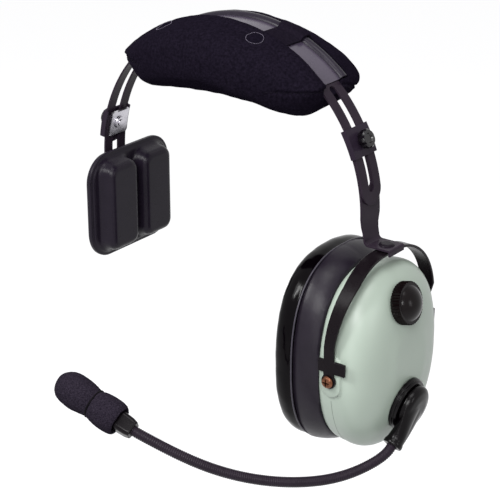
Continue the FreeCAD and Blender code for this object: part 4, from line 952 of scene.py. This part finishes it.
@dataclass
class Headband:
    """The spring leaf, its channel cover and the tape over it."""

    pad: CrownPad = field(default_factory=CrownPad)
    flat_half: float = 8.3

    def build(self) -> None:
        """Builds the headband's pieces in order."""
        Workshop.polished("spring_band", Finishes.SPRING, "headband", 0.2)
        cover = Workshop.polished("channel_cover", Finishes.COVER, "headband", 0.15)
        self.darken_ridges(cover.data)
        Workshop.polished("cover_strap", Finishes.TAPE, "headband", 0.3)
        self.pad.build()
        LOG.info("headband built")

    def darken_ridges(self, mesh: bpy.types.Mesh) -> None:
        """Gives the cover's two round ridges a darker copy of the cover vinyl, which is painted shade; the
        flat's lighter base paints in the reflection that it catches.
        """
        mesh.materials.append(Finishes.RIDGE_PAINTED_SHADE.material())
        for face in mesh.polygons:
            if abs(face.center.y) > self.flat_half * MM:
                face.material_index = 1


@dataclass
class SideArm:
    """One sliding arm with its clamp."""

    side: str
    extras: tuple[tuple[str, Finish, float], ...] = ()

    def build(self) -> None:
        """Builds the arm, the clamp round the leaf and the grip screw."""
        arm, grip = self.side + "_arm", self.side + "_grip"
        Workshop.polished(self.side + "_arm_strap", Finishes.SPRING, arm, 0.2)
        Workshop.polished(self.side + "_clamp_plate", Finishes.CLAMP, arm, 0.3)
        Workshop.polished(self.side + "_nut_plate", Finishes.ZINC, arm, 0.2)
        Workshop.polished(self.side + "_clamp_screw", Finishes.ZINC, grip, 0.1)
        Workshop.polished(self.side + "_clamp_grip", Finishes.GRIP, grip, 0.3)
        for node, finish, edge in self.extras:
            Workshop.polished(node, finish, arm, edge)
        LOG.info("%s arm built", self.side)


@dataclass
class Stirrup:
    """The arched strap that carries the cup."""

    def build(self) -> None:
        """Builds the stirrup."""
        Workshop.polished("stirrup", Finishes.STIRRUP, "yoke", 0.25)
        LOG.info("stirrup built")


@dataclass
class EarCup:
    """The moulded cup with its flange, seal and what it holds."""

    middle_z: float = -117.2
    flange_x: float = 65.65
    seal_length: float = 12.6
    seal_y: float = 43.0
    seal_z: float = 49.8
    seal_power: float = 2.5
    seal_around: int = 180
    seal_across: int = 40
    hole_y: float = 21.5
    hole_z: float = 31.0
    seal_corners: tuple[tuple[float, float], ...] = (
        (1.0, 0.0), (0.985, 0.06), (1.0, 0.2), (1.012, 0.35), (1.0, 0.55), (0.955, 0.75), (0.86, 0.9),
        (0.72, 0.985), (0.55, 1.0), (0.36, 0.975), (0.2, 0.88), (0.08, 0.72), (0.01, 0.5), (0.0, 0.3),
        (0.03, 0.1), (0.09, 0.0))
    welt_radius: float = 0.42
    parting_x: float = 85.7
    parting_top: float = -131.5
    parting_length: float = 26.0

    def oval(self, x: float, half_y: float, half_z: float, turn: float) -> Vector:
        """Gives a point of an upright oval in a plane of constant x."""
        c, s = math.cos(turn), math.sin(turn)
        y = half_y * power(c, 2 / self.seal_power)
        return Vector((x, y, self.middle_z + half_z * power(s, 2 / self.seal_power)))

    def seal_profile(self, share: float) -> tuple[float, float]:
        """Gives a point of the seal's section, on a smooth curve through its corners.

        Args:
            share: Place round the section from 0 to 1, from the flange outside to the flange inside.

        Returns:
            How far out the point is, from the hole (0) to the outer edge (1), and its depth from the flange.
        """
        corners = self.seal_corners
        place = share * (len(corners) - 1)
        i = min(int(place), len(corners) - 2)
        k = place - i
        before = corners[max(i - 1, 0)]
        first, second = corners[i], corners[i + 1]
        after = corners[min(i + 2, len(corners) - 1)]
        found = []
        for a, b, c, d in zip(before, first, second, after):
            found.append(0.5 * (2 * b + (c - a) * k + (2 * a - 5 * b + 4 * c - d) * k * k
                                + (3 * b - a - 3 * c + d) * k ** 3))
        return found[0], found[1]

    def build_seal(self) -> None:
        """Builds the glossy stuffed ring with its small creases."""
        shape = bmesh.new()
        rings = []
        for i in range(self.seal_around):
            turn = 2 * math.pi * i / self.seal_around
            ring = []
            for k in range(self.seal_across):
                out, deep = self.seal_profile(k / (self.seal_across - 1))
                half_y = self.hole_y + (self.seal_y - self.hole_y) * out
                half_z = self.hole_z + (self.seal_z - self.hole_z) * out
                x = self.flange_x - self.seal_length * max(deep, 0.0)
                ring.append(self.oval(x, half_y, half_z, turn))
            rings.append(ring)
        Workshop.loft(shape, rings, closed=True)
        mesh = Workshop.mesh("ear_seal_skin", shape, 70)
        mesh = Workshop.inflated(mesh, self.seal_held, 3.0, 0.7)
        CrownPad.shift(mesh, self.seal_creases)
        mesh = Workshop.modified(mesh, [("SUBSURF", {"levels": 1, "render_levels": 1})])
        made = Workshop.piece("ear_seal_skin", mesh, Finishes.SEAL, "cup")
        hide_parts("ear_seal")

    def build_parting(self, skin: BVHTree) -> None:
        """Lays the fine parting line down the dome below the front pivot boss."""
        points = []
        for i in range(40):
            start = Vector((self.parting_x, -70.0, self.parting_top - self.parting_length * i / 39))
            place, normal, _, _ = skin.ray_cast(start * MM, Vector((0.0, 1.0, 0.0)))
            if place is not None:
                points.append(place / MM - normal * 0.05)
        line = Lines.tube(points, Finishes.SEAM, 0.13)
        Workshop.piece("dome_parting_line", line, Finishes.SEAM, "cup")

    def build_welt(self) -> None:
        """Builds the thin welt where the seal meets the flange. Its vinyl is far lighter than the seal's, a
        painted highlight along that crease.
        """
        points = []
        for i in range(240):
            turn = 2 * math.pi * i / 240
            points.append(self.oval(self.flange_x + 0.15, self.seal_y + 0.1, self.seal_z + 0.1, turn))
        ring = Lines.tube(points, Finishes.WELT_HIGHLIGHT, self.welt_radius, cyclic=True)
        Workshop.piece("seal_welt_ring", ring, Finishes.WELT_HIGHLIGHT, "cup")

    def seal_held(self, point: Vector) -> float:
        """Holds the seal where it meets the flange."""
        return 1.0 if point.x > self.flange_x - 0.8 else 0.0

    def seal_creases(self, point: Vector, normal: Vector) -> Vector:
        """Adds shallow folds across the ring, deepest at its face and at the hole."""
        deep = (self.flange_x - point.x) / self.seal_length
        turn = math.atan2(point.z - self.middle_z, point.y)
        fold = noise.noise(Vector((math.cos(turn) * 7, math.sin(turn) * 7, deep * 1.3)))
        small = noise.noise(Vector((math.cos(turn) * 19, math.sin(turn) * 19, deep * 2.5 + 9)))
        return normal * ((0.22 * fold + 0.1 * small) * smooth(deep * 2.5))

    def build(self) -> None:
        """Builds the cup's pieces in order."""
        dome = Workshop.polished("dome_shell", Finishes.DOME, "cup")
        self.build_parting(Workshop.surface(dome.data))
        self.build_welt()
        Workshop.polished("ear_flange", Finishes.FLANGE, "cup")
        Workshop.polished("pivot_screws", Finishes.COPPER, "cup", 0.2)
        Workshop.polished("cord_gland", Finishes.GLAND, "cup", 0.3)
        self.build_seal()
        for node, finish in (("case_screws", Finishes.ZINC), ("baffle_plate", Finishes.GLAND),
                             ("ear_liner", Finishes.LINER), ("earphone_case", Finishes.GLAND),
                             ("earphone_magnet", Finishes.MAGNET), ("amp_board", Finishes.BOARD),
                             ("board_parts", Finishes.CHIPS), ("acoustic_foam", Finishes.LINER),
                             ("volume_pot", Finishes.ZINC), ("pot_nut", Finishes.ZINC)):
            Workshop.dress(node, finish)
        LOG.info("ear cup built")


@dataclass
class VolumeKnob:
    """The fluted knob with its domed cap."""

    seat: tuple[float, float, float] = (103.28, -5.0, -87.2)
    tilt: float = 14.0
    radius: float = 10.2
    skirt: float = 5.2
    ribs: int = 44
    rib_size: float = 0.5

    def build(self) -> None:
        """Builds the knob, its ribs and its shaft."""
        Workshop.polished("volume_knob", Finishes.KNOB, "volume", 0.15)
        Workshop.piece("volume_knob_ribs", self.rib_mesh(), Finishes.KNOB, "volume")
        Workshop.dress("pot_shaft", Finishes.ZINC)
        LOG.info("volume knob built")

    def rib_mesh(self) -> bpy.types.Mesh:
        """Sets a ring of pointed ribs round the skirt."""
        turn = math.radians(self.tilt)
        axis = Vector((math.cos(turn), 0.0, math.sin(turn)))
        aside = Vector((0.0, 1.0, 0.0))
        up = axis.cross(aside)
        middle = Vector(self.seat) + axis * (self.skirt / 2 + 0.3)
        points = []
        for i in range(self.ribs):
            place = 2 * math.pi * (i + 0.5) / self.ribs
            points.append(middle + (aside * math.cos(place) + up * math.sin(place)) * (self.radius - 0.12))
        recipe = NodeRecipe("knob_ribs", {
            "Rib": ("NodeSocketFloat", self.rib_size * MM),
            "Height": ("NodeSocketFloat", (self.skirt - 0.5) * MM),
            "Axis": ("NodeSocketVector", tuple(axis)),
            "Middle": ("NodeSocketVector", tuple(middle * MM))})
        start = recipe.start.outputs
        here = recipe.node("GeometryNodeInputPosition").outputs[0]
        outwards = recipe.node("ShaderNodeVectorMath", {0: here, 1: start["Middle"]}, operation="SUBTRACT")
        upright = recipe.node("FunctionNodeAlignRotationToVector", {"Vector": start["Axis"]}, axis="Z")
        turned = recipe.node("FunctionNodeAlignRotationToVector",
                             {"Rotation": upright.outputs[0], "Vector": outwards.outputs[0]},
                             axis="X", pivot_axis="Z")
        rib = recipe.node("GeometryNodeMeshCylinder",
                          {"Vertices": 4, "Radius": start["Rib"], "Depth": start["Height"]})
        points_only = recipe.node("GeometryNodeMeshToPoints", {"Mesh": start["Geometry"]})
        placed = recipe.node("GeometryNodeInstanceOnPoints", {
            "Points": points_only.outputs[0], "Instance": rib.outputs["Mesh"], "Rotation": turned.outputs[0]})
        recipe.finish(placed.outputs[0], Finishes.KNOB, soft=False)
        return recipe.run(Lines.dots("knob_rib_places", points))


@dataclass
class Microphone:
    """The boom: disc, holder, gooseneck, microphone and windscreen."""

    sleeve_end: tuple[float, float, float] = (108.38, -17.83, -157.38)
    sleeve_line: tuple[float, float, float] = (-0.144, -0.719, -0.679)
    neck_route: tuple[tuple[float, float, float], ...] = ((-4.8, -9.6, -6.8), (-22.5, -44.6, -7.1),
                                                          (-51.5, -80.2, 7.8), (-74.9, -97.2, 23.4),
                                                          (-80.0, -98.3, 25.3))
    neck_radius: float = 2.35
    neck_rib: float = 0.24
    neck_pitch: float = 1.05
    neck_tail: float = 4.0
    foam_radius: float = 8.3
    foam_length: float = 36.6
    waist: float = 7.0
    waist_at: float = 15.2
    mouth: float = 5.9
    axis: Vector = field(default_factory=lambda: Vector((-0.92, -0.12, 0.36)).normalized())

    def build(self) -> None:
        """Builds the boom's pieces in order."""
        Workshop.polished("boom_disc", Finishes.HOLDER, "cup", 0.2)
        Workshop.moulded("boom_holder", "boom_holder_moulding", Finishes.HOLDER, "boom", 16)
        neck = Workshop.piece("gooseneck_tube", self.neck_mesh(), Finishes.NECK, "boom")
        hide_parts("gooseneck")
        Workshop.polished("mic_housing", Finishes.MIC, "boom", 0.35)
        Workshop.polished("mic_cap", Finishes.MIC, "boom", 0.2)
        self.build_windscreen()
        for node, finish in (("boom_stud", Finishes.ZINC), ("boom_washer", Finishes.ZINC),
                             ("boom_nut", Finishes.ZINC), ("mic_capsule", Finishes.MAGNET)):
            Workshop.dress(node, finish)
        LOG.info("microphone boom built")

    def neck_line(self) -> list[Vector]:
        """Gives the gooseneck's line, a smooth curve from the sleeve to the microphone."""
        end, along = Vector(self.sleeve_end), Vector(self.sleeve_line).normalized()
        route = [end + along] + [end + Vector(step) for step in self.neck_route]
        stops = [0.0]
        for first, second in zip(route, route[1:]):
            stops.append(stops[-1] + (second - first).length)
        count = len(route)
        rows, right = np.zeros((count, count)), np.zeros((count, 3))
        rows[0, 0] = rows[-1, -1] = 1.0
        right[0], right[-1] = along, self.axis
        for i in range(1, count - 1):
            before, after = stops[i] - stops[i - 1], stops[i + 1] - stops[i]
            rows[i, i - 1:i + 2] = after, 2 * (before + after), before
            arriving, leaving = route[i] - route[i - 1], route[i + 1] - route[i]
            right[i] = 3 * (arriving * (after / before) + leaving * (before / after))
        slopes = np.linalg.solve(rows, right)
        found = [end - along * self.neck_tail]
        for i in range(count - 1):
            span = stops[i + 1] - stops[i]
            steps = max(int(span * 2), 2)
            for k in range(steps):
                t = k / steps
                first, second = Vector(slopes[i]) * span, Vector(slopes[i + 1]) * span
                found.append(route[i] * (2 * t ** 3 - 3 * t ** 2 + 1) + first * (t ** 3 - 2 * t ** 2 + t)
                             + route[i + 1] * (3 * t ** 2 - 2 * t ** 3) + second * (t ** 3 - t ** 2))
        found.append(route[-1])
        found.append(route[-1] + self.axis * self.neck_tail)
        return found

    def neck_mesh(self) -> bpy.types.Mesh:
        """Sweeps the ribbed tube along its line."""
        recipe = NodeRecipe("gooseneck_ribs", {
            "Pitch": ("NodeSocketFloat", self.neck_pitch * MM),
            "Radius": ("NodeSocketFloat", self.neck_radius * MM),
            "Rib": ("NodeSocketFloat", self.neck_rib * MM)})
        start = recipe.start.outputs
        step = recipe.maths("DIVIDE", start["Pitch"], 6.0)
        line = recipe.node("GeometryNodeResampleCurve",
                           {"Curve": start["Geometry"], "Length": step}, mode="LENGTH")
        index = recipe.node("GeometryNodeInputIndex").outputs[0]
        wave = recipe.maths("SINE", recipe.maths("MULTIPLY", index, math.pi / 3))
        height = recipe.maths("MULTIPLY", recipe.maths("ADD", wave, 1.0), start["Rib"])
        radius = recipe.maths("ADD", recipe.maths("MULTIPLY", height, 0.5), start["Radius"])
        profile = recipe.node("GeometryNodeCurvePrimitiveCircle", {"Resolution": 24, "Radius": 1.0})
        tube = recipe.node("GeometryNodeCurveToMesh", {
            "Curve": line.outputs[0], "Profile Curve": profile.outputs[0], "Scale": radius,
            "Fill Caps": True})
        recipe.finish(tube.outputs[0], Finishes.NECK)
        return recipe.run(Lines.poly("gooseneck_line", self.neck_line()))

    def foam_profile(self) -> list[tuple[float, float]]:
        """Gives the windscreen's section as (radius, length) corners from the mouth to the tip."""
        r, w, full = self.foam_radius, self.waist_at, self.foam_length
        return [(0.0, 4.5), (3.0, 4.5), (self.mouth - 0.6, 4.4), (self.mouth, 3.6), (self.mouth, 1.2),
                (self.mouth + 0.3, 0.25), (self.mouth + 1.0, -0.1), (r - 0.75, 0.7), (r - 0.1, 3.0),
                (r + 0.1, w * 0.45), (r - 0.2, w * 0.7), (r - 0.7, w * 0.88), (self.waist + 0.05, w - 0.7),
                (self.waist - 0.1, w), (self.waist + 0.05, w + 0.7), (r - 0.95, w + 2.0), (r - 0.4, w + 4.6),
                (r, w + 9.0), (r + 0.05, w + 13.0), (r * 0.95, full - 6.2), (r * 0.82, full - 3.4),
                (r * 0.58, full - 1.3), (r * 0.3, full - 0.3), (0.0, full)]

    def build_windscreen(self) -> None:
        """Builds the foam sock over the microphone, with its porous skin."""
        base = self.tip_place() - self.axis * self.foam_length
        shape = bmesh.new()
        Workshop.loft(shape, self.turned(base, self.foam_profile()), caps=False)
        mesh = Workshop.mesh("windscreen_foam", shape, 80)
        mesh = Workshop.modified(mesh, [("SUBSURF", {"levels": 2, "render_levels": 2})])
        CrownPad.shift(mesh, lambda point, normal: normal * (0.16 * noise.noise(point * 1.5)
                                                             + 0.2 * noise.noise(point * 0.25)))
        made = Workshop.piece("windscreen_foam", mesh, Finishes.FOAM, "boom")
        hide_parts("windscreen")
        ring = bmesh.new()
        section = []
        for k in range(12):
            turn = 2 * math.pi * k / 12
            section.append((self.waist + 0.05 + 0.35 * math.cos(turn), self.waist_at + 0.45 * math.sin(turn)))
        Workshop.loft(ring, self.turned(base, section), closed=True)
        band = Workshop.piece("windscreen_tie_ring", Workshop.mesh("windscreen_tie_ring", ring, 80),
                              Finishes.TIE, "boom")
        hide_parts("windscreen_tie")

    def turned(self, base: Vector, profile: Sequence[tuple[float, float]], around: int = 72) -> list[Ring]:
        """Turns a (radius, length) profile about the microphone's axis.

        Args:
            base: The axis's start, in millimetres.
            profile: The corners, as radius and length along the axis.
            around: Points in each ring.

        Returns:
            One ring for each corner.
        """
        side = self.axis.cross(Vector((0, 0, 1))).normalized()
        up = side.cross(self.axis)
        rings = []
        for radius, along in profile:
            ring = []
            for k in range(around):
                turn = 2 * math.pi * k / around
                out = side * math.cos(turn) + up * math.sin(turn)
                ring.append(base + self.axis * along + out * max(radius, 0.001))
            rings.append(ring)
        return rings

    def tip_place(self) -> Vector:
        """Finds the windscreen's tip from the CAD node."""
        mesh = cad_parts["windscreen"].data
        found = np.empty(len(mesh.vertices) * 3)
        mesh.vertices.foreach_get("co", found)
        places = found.reshape(-1, 3) / MM
        reach = places @ np.array(self.axis)
        return Vector(places[int(reach.argmax())])


@dataclass
class TemplePad:
    """The moulded rubber pad on the left arm's hinge."""

    def build(self) -> None:
        """Builds the rubber, its plate and its rivets."""
        made = Workshop.moulded("temple_pad", "temple_pad_rubber", Finishes.RUBBER, "temple", 9)
        Workshop.polished("temple_plate", Finishes.CLAMP, "temple", 0.2)
        Workshop.polished("pad_rivets", Finishes.ZINC, "temple", 0.1)
        LOG.info("temple pad built")


@dataclass(frozen=True)
class Lamp:
    """One soft area lamp, aimed at the headset."""

    name: str
    azimuth: float
    elevation: float
    distance: float
    wide: float
    tall: float
    watts: float

    def build(self, aim: Vector) -> None:
        """Places the lamp round the point that it lights."""
        data = bpy.data.lights.new(self.name, "AREA")
        data.shape = "RECTANGLE"
        data.size, data.size_y, data.energy = self.wide, self.tall, self.watts
        turn, lift = math.radians(self.azimuth), math.radians(self.elevation)
        out = Vector((math.sin(turn) * math.cos(lift), -math.cos(turn) * math.cos(lift), math.sin(lift)))
        lamp = bpy.data.objects.new(self.name, data)
        facing = out.to_track_quat("Z", "Y").to_matrix().to_4x4()
        lamp.matrix_world = Matrix.Translation(aim + out * self.distance) @ facing
        bpy.context.scene.collection.objects.link(lamp)


@dataclass
class Studio:
    """Camera, pale floor, sky light and lamps."""

    eye: tuple[float, float, float] = (465.3, -613.4, 226.1)
    aim: tuple[float, float, float] = (9.2, 0.0, -84.3)
    lens: float = 116.04
    floor_z: float = -420.0
    floor_half: float = 6000.0
    floor_colour: RGB = (160, 160, 163)
    floor_glow: float = 0.86
    sky: float = 0.28
    lamps: tuple[Lamp, ...] = (
        Lamp("right_softbox", 88.0, 12.0, 0.95, 0.12, 0.32, 0.7),
        Lamp("front_strip", 50.0, 22.0, 1.0, 0.07, 0.26, 1.1),
        Lamp("shoulder_strip", 27.0, 2.0, 1.0, 0.035, 0.4, 0.5),
        Lamp("left_key", -17.0, 42.0, 1.0, 0.07, 0.3, 2.6),
        Lamp("left_soft", -24.0, 42.0, 1.1, 0.4, 0.45, 4.0),
        Lamp("front_soft", 26.0, 34.0, 1.1, 0.45, 0.45, 7.0),
        Lamp("top_fill", 60.0, 72.0, 1.1, 0.5, 0.5, 3.6),
    )

    def camera(self) -> None:
        """Places the camera at the photograph's viewpoint."""
        data = bpy.data.cameras.new("camera")
        data.lens, data.sensor_width = self.lens, 36.0
        data.clip_start, data.clip_end = 0.05, 20.0
        made = bpy.data.objects.new("camera", data)
        eye, aim = Vector(self.eye) * MM, Vector(self.aim) * MM
        turn = (aim - eye).to_track_quat("-Z", "Y")
        made.matrix_world = Matrix.Translation(eye) @ turn.to_matrix().to_4x4()
        bpy.context.scene.collection.objects.link(made)
        bpy.context.scene.camera = made

    @staticmethod
    def seen(tree: bpy.types.NodeTree) -> bpy.types.NodeSocket:
        """Gives 1 for what the camera sees straight, in gloss or through glass, and 0 for light."""
        path = tree.nodes.new("ShaderNodeLightPath").outputs
        share = path["Is Camera Ray"]
        for other in ("Is Glossy Ray", "Is Transmission Ray"):
            most = tree.nodes.new("ShaderNodeMath")
            most.operation = "MAXIMUM"
            tree.links.new(share, most.inputs[0])
            tree.links.new(path[other], most.inputs[1])
            share = most.outputs[0]
        return share

    def world(self) -> None:
        """Makes the sky: white where it is seen, and softer as a light."""
        world = bpy.data.worlds.new("studio")
        world.use_nodes = True
        tree = world.node_tree
        back = tree.nodes["Background"]
        back.inputs["Color"].default_value = (1, 1, 1, 1)
        strength = tree.nodes.new("ShaderNodeMapRange")
        tree.links.new(self.seen(tree), strength.inputs["Value"])
        strength.inputs["To Min"].default_value = self.sky
        strength.inputs["To Max"].default_value = 1.0
        tree.links.new(strength.outputs["Result"], back.inputs["Strength"])
        bpy.context.scene.world = world

    def floor(self) -> None:
        """Lays the pale floor well below the headset, which hangs free."""
        shape = bmesh.new()
        bmesh.ops.create_grid(shape, x_segments=2, y_segments=2, size=self.floor_half)
        bmesh.ops.translate(shape, vec=(0, 0, self.floor_z), verts=shape.verts)
        mesh = Workshop.mesh("floor", shape)
        made = bpy.data.objects.new("floor", mesh)
        bpy.context.scene.collection.objects.link(made)
        material = bpy.data.materials.new("floor_white")
        material.use_nodes = True
        tree = material.node_tree
        surface = tree.nodes["Principled BSDF"]
        surface.inputs["Base Color"].default_value = linear(self.floor_colour)
        surface.inputs["Roughness"].default_value = 0.9
        surface.inputs["Specular IOR Level"].default_value = 0.0
        surface.inputs["Emission Color"].default_value = (1, 1, 1, 1)
        glow = tree.nodes.new("ShaderNodeMath")
        glow.operation = "MULTIPLY"
        tree.links.new(self.seen(tree), glow.inputs[0])
        glow.inputs[1].default_value = self.floor_glow
        tree.links.new(glow.outputs[0], surface.inputs["Emission Strength"])
        mesh.materials.append(material)

    def build(self) -> None:
        """Sets the studio up."""
        self.camera()
        self.world()
        self.floor()
        for lamp in self.lamps:
            lamp.build(Vector(self.aim) * MM)
        bpy.context.scene.view_settings.view_transform = "Standard"
        LOG.info("studio set")


def main() -> None:
    """Builds the studio and the headset's sub-assemblies in order."""
    logging.basicConfig(level=logging.INFO, format="%(message)s")
    Studio().build()
    Headband().build()
    SideArm("right", (("swivel_rivet", Finishes.RIVET, 0.15), ("swivel_washer", Finishes.RIVET, 0.1))).build()
    SideArm("left", (("hinge_pin", Finishes.ZINC, 0.15),)).build()
    Stirrup().build()
    EarCup().build()
    VolumeKnob().build()
    Microphone().build()
    TemplePad().build()


if __name__ == "__main__":
    main()
